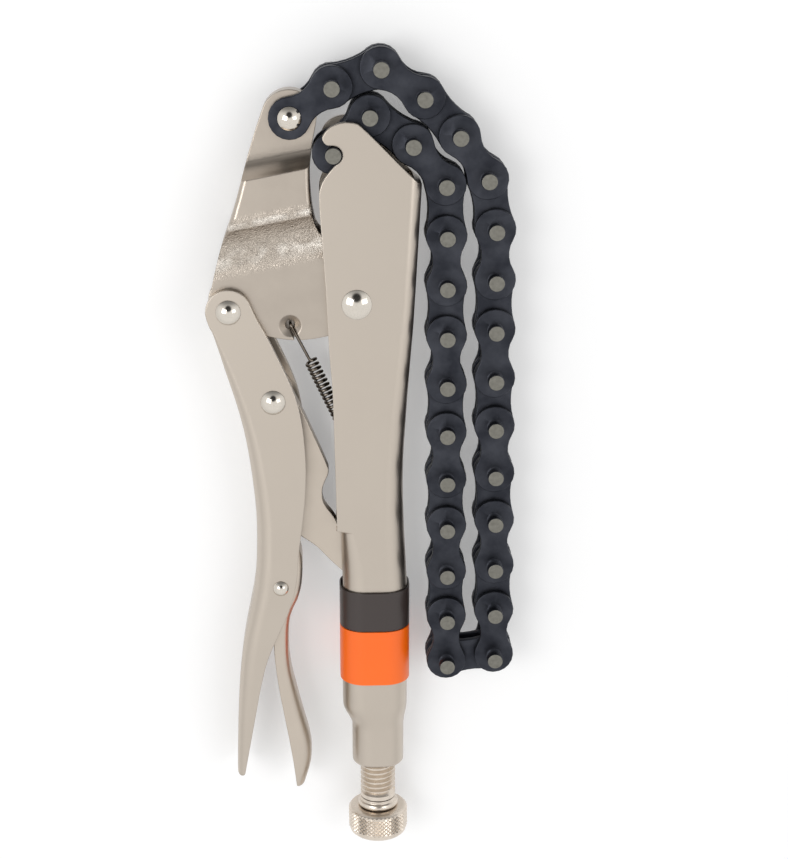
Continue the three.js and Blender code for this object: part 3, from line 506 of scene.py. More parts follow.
def handle_hoops(inset):
    """The rings of the handle's outer skin, or of the skin inside its sheet."""
    length = SPINE_TOP - TUBE_ROUND
    tube_left, tube_right = TUBE_AXIS - TUBE_RADIUS, TUBE_AXIS + TUBE_RADIUS
    spine = [(SPINE_TOP - y * length, tube_right + (HEAD_RIGHT - tube_right) * x)
             for y, x in SPINE_EDGE_SHARES]
    corner = [(SPINE_TOP - y * length, TUBE_CORNER * radius) for y, radius in SPINE_CORNER_SHARES]
    half = [(-53.0, HANDLE_FACE), (TUBE_ROUND, TUBE_HALF)]

    def ring(y, left, left_corner):
        return (y, left, eased(spine, y) - inset, eased(half, y) - inset, left_corner,
                max(eased(corner, y) - inset, LEAST_CORNER))

    open_rings = [ring(y, HEAD_LEFT - 8 - inset, 0.5)
                  for y in run(NOTCH[1] + HOOK_HEIGHT + 3, TUBE_START, 4.0)]
    rolled = []
    for y in run(WALL_END, TUBE_ROUND, 2.5):
        roundness = 0.55 + 0.45 * math.sin(math.pi / 2 * (WALL_END - y) / (WALL_END - TUBE_ROUND))
        rolled.append(ring(y, tube_left + inset, (TUBE_CORNER - inset) * roundness))
    return open_rings + rolled


def tube_hoop(y, axis, radius, half, corner):
    """A ring across the tool about an axis, with its corners rounded."""
    return (y, axis - radius, axis + radius, half, corner, corner)


def shoulder_hoops(inset, neck, drop=0.0):
    """The rings where the tube draws in to the neck, which is given as its radius, half height and corner."""
    tube = [measure - inset for measure in (TUBE_RADIUS, TUBE_HALF, TUBE_CORNER)]
    rings = []
    for y in run(SHOULDER, NECK_TOP, 1.0):
        share = (1 - math.cos(math.pi * (SHOULDER - y) / (SHOULDER - NECK_TOP))) / 2
        measures = [one * (1 - share) + other * share for one, other in zip(tube, neck)]
        rings.append(tube_hoop(y + drop, TUBE_AXIS + (SCREW_AXIS - TUBE_AXIS) * share, *measures))
    return rings


def handle_outline():
    """The shape that the two walls are cut to."""
    def around(share):
        return Vector(NOTCH) + Vector(share) * HOOK_HEIGHT

    foot = TUBE_AXIS - 1.14 * TUBE_RADIUS
    throat = around(THROAT_SHARES[0])
    fall = Vector((foot - throat.x, TUBE_START - throat.y))
    shoulder = (HEAD_LEFT + 0.9 * (HEAD_RIGHT - HEAD_LEFT), SPINE_TOP - 2 * SHEET_THICKNESS)
    # The rest is cut wide of the tube and the neck
    left, right, end = HEAD_LEFT - 3, HEAD_RIGHT + 3, NECK_END - 3
    return [
        *[around(share) for share in HOOK_SHARES],
        *arc(shoulder, 2 * SHEET_THICKNESS, 75, 15, 4),
        (right, shoulder[1] - SHEET_THICKNESS), (right, end + 0.2), (right - 0.2, end),
        (left + 0.2, end), (left, end + 0.2), (left, WALL_END - 0.4), (left + 0.1, WALL_END),
        (foot - 0.6, WALL_END), (foot, WALL_END + 0.8),
        *[throat + fall * Vector(share) for share in WALL_EDGE_SHARES],
        *[around(share) for share in THROAT_SHARES],
        *arc(NOTCH, NOTCH_RADIUS, -75, 90, 7),
    ]


def make_handle():
    bore = (SCREW_BORE,) * 3
    turns = [math.radians(angle) for angle in (0, 22.5, 45, 67.5, 90)]
    outer = skin([
        *handle_hoops(0),
        *shoulder_hoops(0, NECK),
        *[tube_hoop(NECK_END + NECK_RIM * (1 - math.sin(turn)), SCREW_AXIS,
                    *[measure - NECK_RIM * (1 - math.cos(turn)) for measure in NECK])
          for turn in turns],
    ])
    hollow = skin([
        *handle_hoops(SHEET_THICKNESS),
        *shoulder_hoops(SHEET_THICKNESS, bore, SHEET_THICKNESS / 2),
        tube_hoop(NECK_END - 3, SCREW_AXIS, *bore),
    ])
    slot = block((TUBE_AXIS - 2 * TUBE_RADIUS, SLOT_END, -SLOT_HALF),
                 (TUBE_AXIS, TUBE_START + TUBE_RADIUS, SLOT_HALF))
    trimmed = fitted(fitted(outer, hollow), blank(handle_outline()), operation="INTERSECT")
    cut = fitted(trimmed, slot, rod(PIVOT, PIVOT_BORE))
    wall, y = TUBE_AXIS + TUBE_RADIUS - 1.5 * SHEET_THICKNESS, SPRING_LUG[1]
    tab = [(wall, y + LUG_RADIUS), *arc(SPRING_LUG, LUG_RADIUS, 90, 270, 8), (wall, y - LUG_RADIUS)]
    lug = fitted(blank(tab, -LUG_HALF, LUG_HALF, False), rod(SPRING_LUG, LUG_BORE, segments=24))
    return piece(fitted(cut, lug, operation="UNION"), "handle_pressing", "handle_body", [SHEET],
                 ["main_handle"], edge=0.6)


# Jaw: a forging, thin at the chain's eye, thick in the middle and flat where it enters the handle

JAW_BREADTH = 20.0
JAW_LEFT_SHARES = [(0.22, 0.4), (0.35, 0.4), (0.47, 0.385), (0.625, 0.41), (0.82, 0.44)]
JAW_RIGHT_SHARES = [
    (0.93, -0.44), (0.86, -0.48), (0.8, -0.52), (0.69, -0.64), (0.58, -0.79), (0.5, -0.96),
]
JAW_BOTTOM_SHARES = [(-0.03, -1.28), (-0.06, -0.88), (-0.065, -0.66)]
JAW_EAR, EYE_ROUND, BOSS = 6.5, 8.6, 10.4
# How far the ramp runs up and the hollow down from the thick part, and how each runs out
RAMP, HOLLOW, HOLLOW_POWER = 8.2, 7.0, 2.2
RAMP_SHARES = [
    (0, 1), (0.12, 0.72), (0.25, 0.47), (0.38, 0.25), (0.5, 0.1), (0.6, 0.045), (0.8, 0.012), (1, 0),
]
HOLE_RADIUS, COUNTERSINK, SINK = 1.5, 3.9, 1.6
GROOVE_HALF, GROOVE_LENGTH, GROOVE_FLOOR = 0.9, 7.2, 2.8


def make_jaw():
    def along(shares):
        return beside(LEVER_PIVOT, CHAIN_EYE, JAW_BREADTH, shares)

    outline = [
        *arc(LEVER_PIVOT, JAW_EAR, 270, 169, 8), *along(JAW_LEFT_SHARES),
        *arc(CHAIN_EYE, EYE_ROUND, 165, 5, 12), *along(JAW_RIGHT_SHARES),
        *arc(PIVOT, BOSS, 75, -115, 12), *along(JAW_BOTTOM_SHARES),
    ]
    forged = blank(outline, -PLATEAU_HALF, PLATEAU_HALF)
    rounded(forged, level_edges(forged), 1.6, 5)
    # The thickness along the jaw, from its foot to its eye: a hollow below the thick part and a ramp above it
    steps = [i / 16 for i in range(17)]
    hollow = [(PLATEAU_BOTTOM - HOLLOW * t, JAW_FACE + (PLATEAU_HALF - JAW_FACE) * (1 - t) ** HOLLOW_POWER)
              for t in steps]
    ramp = [(PLATEAU_TOP + RAMP * t, JAW_EYE + (PLATEAU_HALF - JAW_EYE) * left) for t, left in RAMP_SHARES]
    top = [(-50.0, JAW_FACE), *reversed(hollow), *ramp, (90.0, JAW_EYE)]
    die = blank([*top, *[(place, -half) for place, half in reversed(top)]], -130, 130, False)
    die.transform(Matrix((
        (-math.sin(JAW_TILT), 0, math.cos(JAW_TILT), 0), (math.cos(JAW_TILT), 0, math.sin(JAW_TILT), 0),
        (0, 1, 0, 0), (0, 0, 0, 1),
    )))
    shaped = fitted(forged, die, operation="INTERSECT")
    heading = math.atan2(SPRING_LUG[1] - SPRING_HOLE[1], SPRING_LUG[0] - SPRING_HOLE[0])
    groove = block((-GROOVE_HALF, -GROOVE_LENGTH, GROOVE_FLOOR), (GROOVE_HALF, 0, REACH))
    groove.transform(Matrix.Translation((*SPRING_HOLE, 0)) @ Matrix.Rotation(heading + math.pi / 2, 4, "Z"))
    drilled = fitted(
        shaped, rod(PIVOT, PIVOT_BORE), rod(LEVER_PIVOT, LINK_BORE), rod(CHAIN_EYE, EYE_BORE),
        rod(SPRING_HOLE, HOLE_RADIUS),
        rod(SPRING_HOLE, HOLE_RADIUS, JAW_FACE - SINK, JAW_FACE + 0.3, COUNTERSINK), groove,
    )
    return piece(drilled, "jaw_forging", "jaw_body", [FORGING], ["movable_jaw"], edge=0.4)


# Lever and release trigger: channels pressed from sheet

LEVER_BREADTH, LEVER_SHEET = 16.0, 2.2
LEVER_LEFT_SHARES = [
    (0.03, -0.37), (0.063, -0.25), (0.117, -0.1), (0.2, 0.14), (0.265, 0.28), (0.338, 0.38), (0.42, 0.45),
    (0.51, 0.44), (0.574, 0.38), (0.626, 0.28), (0.714, 0.1), (0.82, 0), (0.985, -0.06), (1, -0.05),
]
LEVER_RIGHT_SHARES = [
    (0.01, 0.52), (0.041, 0.7), (0.085, 0.91), (0.154, 1.23), (0.201, 1.36), (0.267, 1.45), (0.35, 1.47),
    (0.438, 1.38), (0.5, 1.28), (0.56, 1.26), (0.628, 1.08), (0.698, 0.74), (0.76, 0.53), (0.856, 0.36),
    (0.985, 0.12), (1, 0.1),
]
LEVER_EAR, LEVER_DEPTH = 7.2, 48.0
# How far below the pivot the lever's spine begins
LEVER_SPINE_DROP = 10.5
# Half the lever's height at its tip, from where it narrows, and the corners of its spine
LEVER_HALF_SHARES = [(0.55, LEVER_FACE), (0.75, 8.67), (1, 6.4)]
LEVER_CORNER_SHARES = [(0.04, 0.7), (0.14, 3.0), (0.42, 5.2), (0.75, 5.2), (1, 3.0)]


def down(pivot, tip, shares):
    """Pairs of a place and a value, from pairs of a share of the way to the tip and a value."""
    return [(pivot[1] - share * (pivot[1] - tip[1]), value) for share, value in shares]


def channel(edge, side, stations, sheet, half, corner, reach, tip, spine_top=math.inf):
    """A channel along the tool, open on one side and closed at its tip, with no spine above spine_top."""
    # There the hollow comes out this far past the outer face
    past_face = 6.0

    def layer(inset):
        rings = []
        inside = [y for y in stations if y > tip + inset + 0.5] + [tip + inset]
        for y in inside if inset else stations:
            shift = -past_face if y > spine_top and inset else inset
            face = eased(edge, y) - side * shift
            left, right = sorted((face, face - side * reach))
            rounding = max(eased(corner, y) - inset, LEAST_CORNER)
            corners = (0.5, rounding) if side > 0 else (rounding, 0.5)
            rings.append((y, left, right, eased(half, y) - inset, *corners))
        return skin(rings)

    return fitted(layer(0), layer(sheet))


def make_lever():
    left = beside(LEVER_PIVOT, LEVER_TIP, LEVER_BREADTH, LEVER_LEFT_SHARES)
    right = beside(LEVER_PIVOT, LEVER_TIP, LEVER_BREADTH, LEVER_RIGHT_SHARES)
    (x, y), end = LEVER_PIVOT, LEVER_TIP[1]
    spine_top = y - LEVER_SPINE_DROP
    pressed = channel(
        [(y - 2, x - 9), *[(point.y, point.x) for point in left]], -1,
        [*run(y + 10, spine_top + 0.3, 2.0), spine_top, *run(spine_top - 4, end - 3, 4.0)],
        LEVER_SHEET, down(LEVER_PIVOT, LEVER_TIP, LEVER_HALF_SHARES),
        down(LEVER_PIVOT, LEVER_TIP, LEVER_CORNER_SHARES), LEVER_DEPTH, end, spine_top,
    )
    outline = [*arc(LEVER_PIVOT, LEVER_EAR, 20, 190, 10), *left, *reversed(right)]
    trimmed = fitted(pressed, blank(outline), operation="INTERSECT")
    drilled = fitted(trimmed, rod(LEVER_PIVOT, LINK_BORE), rod(TOGGLE_PIVOT, LINK_BORE),
                     rod(TRIGGER_PIVOT, TRIGGER_BORE, segments=32))
    return piece(drilled, "lever_pressing", "lever_body", [SHEET], ["lever"], edge=0.55)


TRIGGER_BREADTH, TRIGGER_SHEET = 8.0, 1.6
TRIGGER_RIGHT_SHARES = [
    (-0.153, 0.96), (-0.048, 0.94), (0.056, 0.74), (0.16, 0.25), (0.28, 0.06), (0.41, 0.02), (0.55, 0.2),
    (0.69, 0.43), (0.781, 0.57), (0.857, 0.56), (0.931, 0.38), (0.985, 0.17), (1, 0.12),
]
TRIGGER_LEFT_SHARES = [
    (-0.17, 0.52), (-0.109, -0.15), (-0.008, -0.3), (0.1, -0.4), (0.285, -0.58), (0.465, -0.56),
    (0.657, -0.4), (0.85, -0.24), (0.985, -0.2), (1, -0.19),
]
TRIGGER_DEPTH = 32.0
TRIGGER_HALF_SHARES = [(0.3, 6.2), (1, 5.6)]
TRIGGER_CORNER_SHARES = [(0, 2.6), (0.4, 3.0), (0.7, 4.8), (1, 4.2)]


def make_trigger():
    left = beside(TRIGGER_PIVOT, TRIGGER_TIP, TRIGGER_BREADTH, TRIGGER_LEFT_SHARES)
    right = beside(TRIGGER_PIVOT, TRIGGER_TIP, TRIGGER_BREADTH, TRIGGER_RIGHT_SHARES)
    ends = [y for y, _ in down(TRIGGER_PIVOT, TRIGGER_TIP, [(-0.2, 0), (1.04, 0)])]
    pressed = channel(
        [(point.y, point.x) for point in right], 1, run(*ends, 3.0), TRIGGER_SHEET,
        down(TRIGGER_PIVOT, TRIGGER_TIP, TRIGGER_HALF_SHARES),
        down(TRIGGER_PIVOT, TRIGGER_TIP, TRIGGER_CORNER_SHARES), TRIGGER_DEPTH, TRIGGER_TIP[1],
    )
    trimmed = fitted(pressed, blank([*left, *reversed(right)]), operation="INTERSECT")
    drilled = fitted(trimmed, rod(TRIGGER_PIVOT, TRIGGER_BORE, segments=32))
    return piece(drilled, "trigger_pressing", "trigger_body", [LINK_STEEL], ["release_trigger"],
                 edge=0.3)


# Toggle link: a thick plate with an eye that fills the lever

TOGGLE_BREADTH, TOGGLE_HALF, TOGGLE_EYE, TOGGLE_NOSE_ROUND = 10.0, 2.5, 6.0, 3.4
TOGGLE_RIGHT_SHARES = [
    (0.12, 0.64), (0.2, 0.64), (0.361, 0.64), (0.392, 0.6), (0.42, 0.33), (0.459, 0.08), (0.521, -0.02),
    (0.585, 0.18),
]
TOGGLE_LEFT_SHARES = [
    (0.87, -0.16), (0.8, -0.42), (0.73, -0.64), (0.67, -0.78), (0.62, -1.03), (0.565, -1.28), (0.417, -1.15),
    (0.15, -0.8),
]


def make_toggle():
    outline = [
        *arc(TOGGLE_PIVOT, TOGGLE_EYE, 190, 30, 8),
        *beside(TOGGLE_PIVOT, TOGGLE_NOSE, TOGGLE_BREADTH, TOGGLE_RIGHT_SHARES),
        *arc(TOGGLE_NOSE, TOGGLE_NOSE_ROUND, 30, -150, 6),
        *beside(TOGGLE_PIVOT, TOGGLE_NOSE, TOGGLE_BREADTH, TOGGLE_LEFT_SHARES),
    ]
    eye = rod(TOGGLE_PIVOT, TOGGLE_EYE, -JAW_FACE, JAW_FACE)
    plate = fitted(blank(outline, -TOGGLE_HALF, TOGGLE_HALF), eye, operation="UNION")
    return piece(fitted(plate, rod(TOGGLE_PIVOT, LINK_BORE)), "toggle_plate", "toggle_body", [LINK_STEEL],
                 ["toggle_link"], edge=0.3)


# Rivets

RIVETS = [
    # Name, node, body and place, then the radii of head and shank and the heights of the head's foot and top
    ("pivot_head", "pivot_rivet", "handle_body", PIVOT, 4.7, 3.6, 10.15, PIN_END),
    ("lever_head", "lever_rivet", "jaw_body", LEVER_PIVOT, 3.9, 2.6, 9.95, PIN_END),
    ("link_head", "link_rivet", "lever_body", TOGGLE_PIVOT, 3.9, 2.6, 9.95, PIN_END),
    ("trigger_head", "trigger_rivet", "lever_body", TRIGGER_PIVOT, 2.5, 1.7, 9.95, 11.3),
    ("chain_head", "chain_rivet", "jaw_body", CHAIN_EYE, 3.7, 2.2, 6.0, 7.5),
]


def make_rivet(name, node_name, body, centre, head, shank, foot, top):
    """A shank with a low polished dome at each end."""
    bm = bmesh.new()
    rise = top - foot
    ball = (head ** 2 + rise ** 2) / (2 * rise)
    bmesh.ops.create_uvsphere(bm, u_segments=48, v_segments=64, radius=ball,
                              matrix=Matrix.Translation((*centre, top - ball)))
    cut = bmesh.ops.bisect_plane(bm, geom=bm.verts[:] + bm.edges[:] + bm.faces[:], plane_co=(0, 0, foot),
                                 plane_no=(0, 0, 1), clear_inner=True)["geom_cut"]
    under = bmesh.ops.contextual_create(bm, geom=among(cut, bmesh.types.BMEdge))["faces"]
    bmesh.ops.inset_region(bm, faces=under, thickness=head - shank)
    grown = bmesh.ops.extrude_face_region(bm, geom=under)["geom"]
    bmesh.ops.translate(bm, verts=among(grown, bmesh.types.BMVert), vec=(0, 0, -foot))
    bmesh.ops.delete(bm, geom=among(grown, bmesh.types.BMFace), context="FACES_ONLY")
    bmesh.ops.mirror(bm, geom=bm.verts[:] + bm.edges[:] + bm.faces[:], axis="Z", merge_dist=0.001)
    bmesh.ops.recalc_face_normals(bm, faces=bm.faces)
    return piece(bm, name, body, [RIVET], [node_name])


# Adjusting screw, collar and knob

KNOB_TOP, KNOB_END, KNOB_RADIUS = -178.0, -188.2, 10.1
# The knurl's depth, and its diamonds down the knob and around it
KNURL, KNURL_ROWS, KNURL_COLUMNS = 0.5, 5, 44
COLLAR_BOTTOM, COLLAR_TOP = KNOB_TOP + 0.3, KNOB_TOP + 3.5
SCREW_TIP, JOURNAL, THREAD_CORE, THREAD_CREST, COLLAR_BORE = -108.9, 4.4, 4.85, 5.9, 4.7


def make_screw():
    shoulder, end, core, crest = COLLAR_TOP + 0.3, KNOB_END + 2.5, THREAD_CORE, THREAD_CREST
    shaft = turned([
        (0, end), (JOURNAL, end), (JOURNAL, shoulder), (crest, shoulder), (crest, shoulder + 1.4),
        (core, shoulder + 2.4), (core, SCREW_TIP - 1.2), (core - 0.8, SCREW_TIP), (0, SCREW_TIP),
    ])
    # The thread's ridge, wound from the shoulder up and sunk a little into the shaft
    bm = bmesh.new()
    start, steps = shoulder + 1.2, 40
    turns = int((SCREW_TIP - 2.6 - start) / LEAD)
    ridge = [bm.verts.new((SCREW_AXIS + r, start + y, 0))
             for r, y in ((core - 0.2, 0), (crest, 0.68), (crest, 0.9), (core - 0.2, 1.58))]
    face = bm.faces.new(ridge)
    bmesh.ops.spin(bm, geom=ridge + face.edges[:] + [face], cent=(SCREW_AXIS, 0, 0), axis=(0, 1, 0),
                   dvec=(0, LEAD / steps, 0), angle=2 * math.pi * turns, steps=steps * turns)
    bmesh.ops.recalc_face_normals(bm, faces=bm.faces)
    return piece(fitted(shaft, bm, operation="UNION"), "threaded_rod", "screw_body", [TURNED],
                 ["adjusting_screw"], edge=0.06, segments=2)


def make_knob():
    """A knob with a diamond knurl: its side's grid is turned into diamonds, each drawn out to a point."""
    top, end, root = KNOB_TOP - 1.2, KNOB_END + 2.0, KNOB_RADIUS - KNURL
    bm = turned([
        (COLLAR_BORE, KNOB_END + 2.2), (COLLAR_BORE, KNOB_TOP), (8.7, KNOB_TOP), (9.4, KNOB_TOP - 0.3),
        (9.7, KNOB_TOP - 0.7), *[(root, y) for y in run(top, end, (top - end) / KNURL_ROWS)],
        (9.5, KNOB_END + 1.2), (8.8, KNOB_END + 0.5), (7.9, KNOB_END + 0.1), (7.2, KNOB_END), (0, KNOB_END),
    ], steps=KNURL_COLUMNS)
    bm.verts.ensure_lookup_table()
    floor = [edge for edge in bm.edges if edge.is_boundary]
    bmesh.ops.contextual_create(bm, geom=floor)

    def past_root(vert):
        return math.hypot(vert.co.x - SCREW_AXIS, vert.co.z) - root

    side = [face for face in bm.faces if all(abs(past_root(vert)) < 0.02 for vert in face.verts)]
    grid = list({edge for face in side for edge in face.edges if all(f in side for f in edge.link_faces)})
    bmesh.ops.poke(bm, faces=side, offset=0.0)
    bmesh.ops.dissolve_edges(bm, edges=grid, use_verts=False)
    diamonds = [face for face in bm.faces
                if len(face.verts) == 4 and all(past_root(vert) > -0.08 for vert in face.verts)]
    bmesh.ops.poke(bm, faces=diamonds, offset=KNURL)
    bmesh.ops.recalc_face_normals(bm, faces=bm.faces)
    return piece(bm, "knurled_knob", "screw_body", [TURNED], ["adjusting_knob"], crisp=25)


def make_collar():
    """A thin ring with a rounded flange next to the knob."""
    profile = [(6.5, 0), (6.85, 0.5), (6.85, 1.2), (6.5, 1.9), (6.0, 2.2), (6.0, COLLAR_TOP - COLLAR_BOTTOM)]
    inside = [(COLLAR_BORE, COLLAR_BOTTOM), (COLLAR_BORE, COLLAR_TOP)]
    ring = turned([inside[0], *[(radius, COLLAR_BOTTOM + y) for radius, y in profile], *reversed(inside)])
    return piece(ring, "collar_ring", "collar_body", [TURNED], ["screw_collar"], edge=0.2)


# Sleeves on the tube

SLEEVE_THICKNESS, SLEEVE_SEAT = 0.8, 0.18
BLACK_TOP, BLACK_WIDTH = -96.2, 13.4
ORANGE_TOP, ORANGE_WIDTH = BLACK_TOP - BLACK_WIDTH - 0.3, 19.0


def make_sleeve(name, node_name, top, width, material):
    """A sleeve wrapped on the tube."""
    def wrapped(gap, past):
        measures = [measure + gap for measure in (TUBE_RADIUS, TUBE_HALF, TUBE_CORNER)]
        return skin([tube_hoop(y, TUBE_AXIS, *measures) for y in run(top + past, top - width - past, 20.0)])

    return piece(fitted(wrapped(SLEEVE_THICKNESS, 0.0), wrapped(SLEEVE_SEAT, 1.0)), name, "handle_body",
                 [material], [node_name], edge=0.2)


# Return spring: one wire from the jaw's hole, through its coil, to the lug in the handle

WIRE, COIL, COIL_PITCH, COIL_TURNS = 0.48, 1.75, 1.5, 22
# The radius of the wire's bends, its straight leg, its height over the jaw, and its reach down its holes
WIRE_BEND, WIRE_LEG, WIRE_HEIGHT, ANCHOR = 1.2, 14.5, 4.48, 3.0


def make_spring():
    forward = (Vector(SPRING_LUG) - Vector(SPRING_HOLE)).to_3d()
    span = forward.length
    forward.normalize()
    across = Vector((-forward.y, forward.x, 0))
    start = Vector((*SPRING_HOLE, 0))
    bend, leg = WIRE_BEND, WIRE_LEG

    def raised(along, height):
        return start + forward * along + Vector((0, 0, height))

    def on_coil(along, turn):
        return raised(along, COIL * math.cos(turn)) + across * COIL * math.sin(turn)

    lead_in = bend / COIL
    turn = 2 * math.pi * COIL_TURNS - 2 * lead_in
    end, last = leg + COIL_TURNS * COIL_PITCH, lead_in + turn
    # Each bend is a quarter of a circle, given by how much its cosine and its sine fall short of one
    angles = [math.radians(angle) for angle in range(0, 91, 15)]
    quarter = [(1 - math.cos(angle), 1 - math.sin(angle)) for angle in angles]
    steps = 20 * COIL_TURNS
    path = [
        raised(0, WIRE_HEIGHT - bend - ANCHOR),
        *[raised(bend * c, WIRE_HEIGHT - bend * s) for c, s in quarter],
        raised(leg / 2, (WIRE_HEIGHT + COIL) / 2),
        *[on_coil(leg - bend * s, lead_in * c) for c, s in quarter],
        *[on_coil(leg + (end - leg) * i / steps, lead_in + turn * i / steps) for i in range(1, steps)],
        *[on_coil(end + bend * c, last + lead_in * (1 - s)) for c, s in quarter],
        *[raised(span - bend * s, COIL - bend * c) for c, s in quarter],
        raised(span, COIL - bend - ANCHOR),
    ]
    line = bpy.data.curves.new("spring_line", "CURVE")
    line.dimensions, line.bevel_depth, line.bevel_resolution, line.use_fill_caps = "3D", WIRE, 3, True
    spline = line.splines.new("POLY")
    spline.points.add(len(path) - 1)
    for point, place in zip(spline.points, path):
        point.co = (*place, 1.0)
    carrier = bpy.data.objects.new("spring_line", line)
    bpy.context.scene.collection.objects.link(carrier)
    bm = bmesh.new()
    bm.from_mesh(carrier.evaluated_get(bpy.context.evaluated_depsgraph_get()).to_mesh())
    bpy.data.curves.remove(line)
    bmesh.ops.remove_doubles(bm, verts=bm.verts, dist=0.001)
    bmesh.ops.recalc_face_normals(bm, faces=bm.faces)
    spring = piece(bm, "spring_wire", "handle_body", [SPRING], ["return_spring"])
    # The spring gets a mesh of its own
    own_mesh(spring)
    return spring


# Chain: outer links carry their two pins, inner links their two bushes

PIN, PIN_HOLE, BUSH = 2.55, 2.8, 3.9
# The round ends of the plates, and half the width of their waists
PLATE_END, OUTER_WAIST, INNER_WAIST = 6.5, 4.3, 5.4
# Over the top from the jaw, down the outer run, across, and back up the inner run to the notch
CHAIN_HEADINGS = [38, 23, -31.5, -44.5, -54, -80, *[-88.8] * 9, 184, *[90] * 9, 91, 127.5, 143.5, -136.5]


def plate_outline(waist):
    """A link plate's outline: two round ends and a hollow waist."""
    half = PITCH / 2
    radius = (half ** 2 + waist ** 2 - PLATE_END ** 2) / (2 * (PLATE_END - waist))
    rise = waist + radius
    turn = math.degrees(math.atan2(rise, half))
    return [
        *arc((PITCH, 0), PLATE_END, turn - 180, 180 - turn, 14),
        *arc((half, rise), radius, -turn, turn - 180, 5)[1:],
        *arc((0, 0), PLATE_END, turn, 360 - turn, 14)[1:],
        *arc((half, -rise), radius, 180 - turn, turn, 5)[1:-1],
    ]


def link_plates(waist, low):
    """Two link plates, one each side of the middle, with rolled edges."""
    bm = blank(plate_outline(waist), low, low + PLATE, False)
    rounded(bm, level_edges(bm), 0.4)
    bmesh.ops.mirror(bm, geom=bm.verts[:] + bm.edges[:] + bm.faces[:], axis="Z", merge_dist=0.0001)
    bmesh.ops.recalc_face_normals(bm, faces=bm.faces)
    return bm


def pin(x):
    """A pin with rounded ends, whose sheared faces are bare steel."""
    bm = rod((x, 0), PIN, -PIN_END, PIN_END, segments=40)
    ends = [face for face in bm.faces if abs(face.normal.z) > 0.9]
    for face in ends:
        face.material_index = 1
    rounded(bm, list({edge for face in ends for edge in face.edges}), 0.3)
    return bm


def outer_link(riveted):
    """Outer plates joined by their pins. The first link has a hole where the jaw's rivet passes."""
    plates = link_plates(OUTER_WAIST, PLATE_OUTER)
    if riveted:
        return fitted(fitted(plates, rod((0, 0), EYE_BORE, segments=40)), pin(PITCH), operation="UNION")
    return fitted(plates, pin(0), pin(PITCH), operation="UNION")


def inner_link():
    """Inner plates joined by their bushes, with holes that turn on the pins."""
    half = PLATE_INNER + 0.2
    bushes = [rod((x, 0), BUSH, -half, half, segments=40) for x in (0, PITCH)]
    joined = fitted(link_plates(INNER_WAIST, PLATE_INNER), *bushes, operation="UNION")
    return fitted(joined, *[rod((x, 0), PIN_HOLE, segments=40) for x in (0, PITCH)])


def lay_chain():
    """The pins' places, along headings that are turned by as little as brings the last pin to the notch."""
    headings = [math.radians(heading) for heading in CHAIN_HEADINGS]
    for _ in range(20):
        pins = [Vector(CHAIN_EYE)]
        for heading in headings:
            pins.append(pins[-1] + PITCH * Vector((math.cos(heading), math.sin(heading))))
        miss = Vector(NOTCH) - pins[-1]
        sideways = [PITCH * Vector((-math.sin(heading), math.cos(heading))) for heading in headings]
        spread = Matrix([[sum(s[row] * s[column] for s in sideways) for column in (0, 1)] for row in (0, 1)])
        share = spread.inverted() @ miss
        headings = [heading + s.dot(share) for heading, s in zip(headings, sideways)]
    return pins


def make_chain():
    pins = lay_chain()
    home = {node: body for body, nodes in frame["record"]["behaviour"]["bodies"].items() for node in nodes}
    patterns = {}
    for i, (near, far) in enumerate(zip(pins, pins[1:])):
        kind, number = "inner" if i % 2 else "outer", f"{i + 1:02d}"
        if (kind, i == 0) not in patterns:
            patterns[kind, i == 0] = inner_link() if kind == "inner" else outer_link(i == 0)
        link = patterns[kind, i == 0].copy()
        heading = math.atan2(*(far - near).yx)
        link.transform(Matrix.Translation(near.to_3d()) @ Matrix.Rotation(heading, 4, "Z"))
        piece(link, f"chain_{kind}_{number}", home[f"{kind}_link_{number}"], [BLACKED, PIN_FACE],
              [f"{kind}_link_{number}"])


make_handle()
make_jaw()
make_lever()
make_trigger()
make_toggle()
for rivet in RIVETS:
    make_rivet(*rivet)
make_screw()
make_knob()
make_collar()
make_sleeve("black_sleeve", "black_band", BLACK_TOP, BLACK_WIDTH, BLACK_SLEEVE)
make_sleeve("orange_sleeve", "orange_band", ORANGE_TOP, ORANGE_WIDTH, ORANGE_SLEEVE)
make_spring()
make_chain()


# Studio: a white floor and soft light from above

def matt_white_board(material, _):
    """Painted board, quite matt, that glows a little in the picture and in reflections."""
    seen = node(material, "LightPath").outputs
    shown = node(material, "Math", [(0, seen["Is Camera Ray"]), (1, seen["Is Glossy Ray"])],
                 operation="MAXIMUM")
    glow = node(material, "Math", [(0, shown), (1, 0.3)], operation="MULTIPLY")
    return [
        ("Base Color", linear("#DDDDDD")), ("Roughness", 0.9), ("Specular IOR Level", 0.0),
        ("Emission Color", linear("#FFFFFF")), ("Emission Strength", glow),
    ]


def studio_floor():
    """A wide white floor that keeps the tool's shadow."""
    bm = bmesh.new()
    bmesh.ops.create_grid(bm, x_segments=1, y_segments=1, size=3.0)
    board = as_object(bm, "floor")
    board.data.materials.append(finished("white_board", matt_white_board))


def lamp(name, place, target, size, power):
    """A soft box that faces its target."""
    light = bpy.data.lights.new(name, "AREA")
    light.shape, light.size, light.size_y, light.energy = "RECTANGLE", *size, power
    made = bpy.data.objects.new(name, light)
    made.location = place
    made.rotation_euler = (Vector(target) - Vector(place)).to_track_quat("-Z", "Y").to_euler()
    bpy.context.scene.collection.objects.link(made)


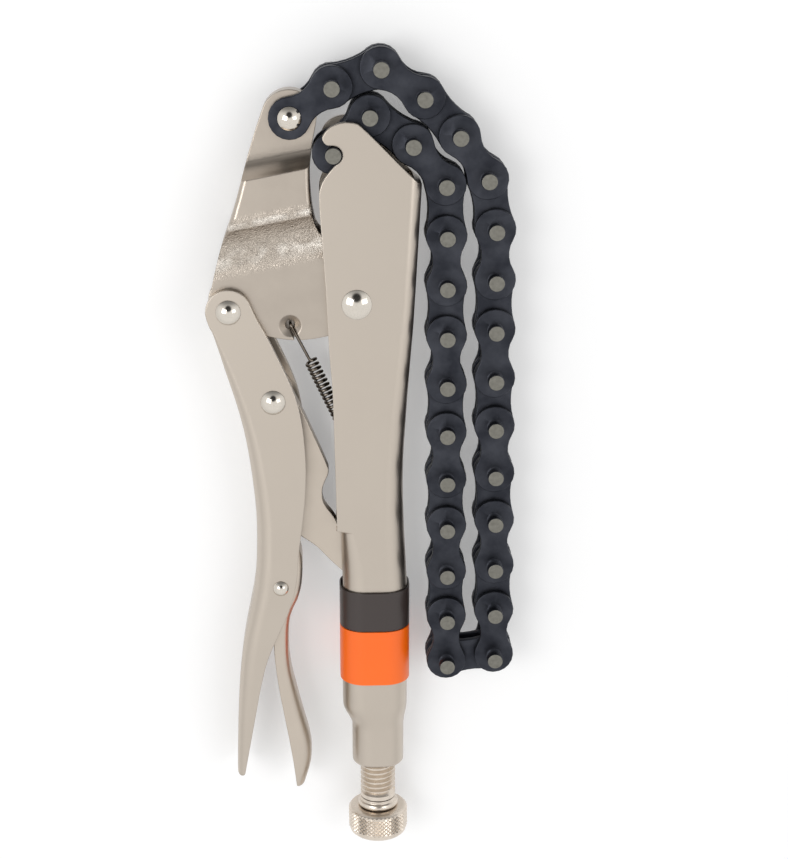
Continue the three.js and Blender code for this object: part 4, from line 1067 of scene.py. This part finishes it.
def studio_camera():
    """Looks down on the tool, leaning towards the knob, from where the photograph was taken."""
    lean = Matrix.Rotation(math.radians(-2.38), 4, "Y") @ Matrix.Rotation(math.radians(-17.2), 4, "X")
    distance, aim = 568.0, Vector((11.44, -40.1, 11.3))
    # The photograph is 788 pixels wide, and its scale fits a lens of 1800 pixels
    sensor, lens_pixels, photo_width = 36.0, 1800, 788
    place = DRAWING @ (lean @ Vector((0, 0, distance)) + aim)
    camera = bpy.data.cameras.new("camera")
    camera.sensor_fit, camera.sensor_width = "HORIZONTAL", sensor
    camera.lens = sensor * lens_pixels / photo_width
    made = bpy.data.objects.new("camera", camera)
    made.matrix_world = Matrix.Translation(place) @ lean
    bpy.context.scene.collection.objects.link(made)
    bpy.context.scene.camera = made


def studio_world():
    """A white tent: even overhead and below the tool's foot, dimmer near the floor and past the jaw.

    The camera sees it as plain white.
    """
    world = bpy.data.worlds.new("studio")
    bpy.context.scene.world = world
    world.use_nodes = True
    world.node_tree.nodes.clear()
    way = node(world, "TexCoord").outputs["Generated"]
    toward = node(world, "SeparateXYZ", [("Vector", way)]).outputs
    # Towards this there is a dim patch between the two soft boxes, a dark spot in each polished rivet
    patch_centre = (0.0, 0.38, 0.925)
    facing = node(world, "VectorMath", [(0, way), (1, patch_centre)], operation="DOT_PRODUCT")
    past_jaw, near_floor, patch = [
        node(world, "MapRange", [
            ("Value", value), ("From Min", start), ("From Max", end), ("To Min", low), ("To Max", high),
        ], interpolation_type="SMOOTHSTEP")
        for value, start, end, low, high in [
            (toward["Y"], 0.3, 0.95, 1.0, 0.3), (toward["Z"], 0.0, 0.6, 0.85, 1.0),
            (facing, 0.9, 0.975, 1.0, 0.05),
        ]
    ]
    sides = node(world, "Math", [(0, past_jaw), (1, near_floor)], operation="MULTIPLY")
    tent = node(world, "Math", [(0, sides), (1, patch)], operation="MULTIPLY")
    seen = node(world, "LightPath").outputs["Is Camera Ray"]
    strength = node(world, "Math", [(0, tent), (1, seen)], operation="MAXIMUM")
    sky = node(world, "Background", [("Color", linear("#FFFFFF")), ("Strength", strength)])
    node(world, "OutputWorld", [("Surface", sky)])


studio_floor()
studio_world()
lamp("window_left", (-0.46, 0.12, 0.82), (0, 0, 0), (0.42, 0.46), 2.0)
lamp("window_right", (0.52, 0.12, 0.78), (0, 0, 0), (0.32, 0.4), 0.7)
studio_camera()
bpy.context.scene.view_settings.view_transform = "Standard"
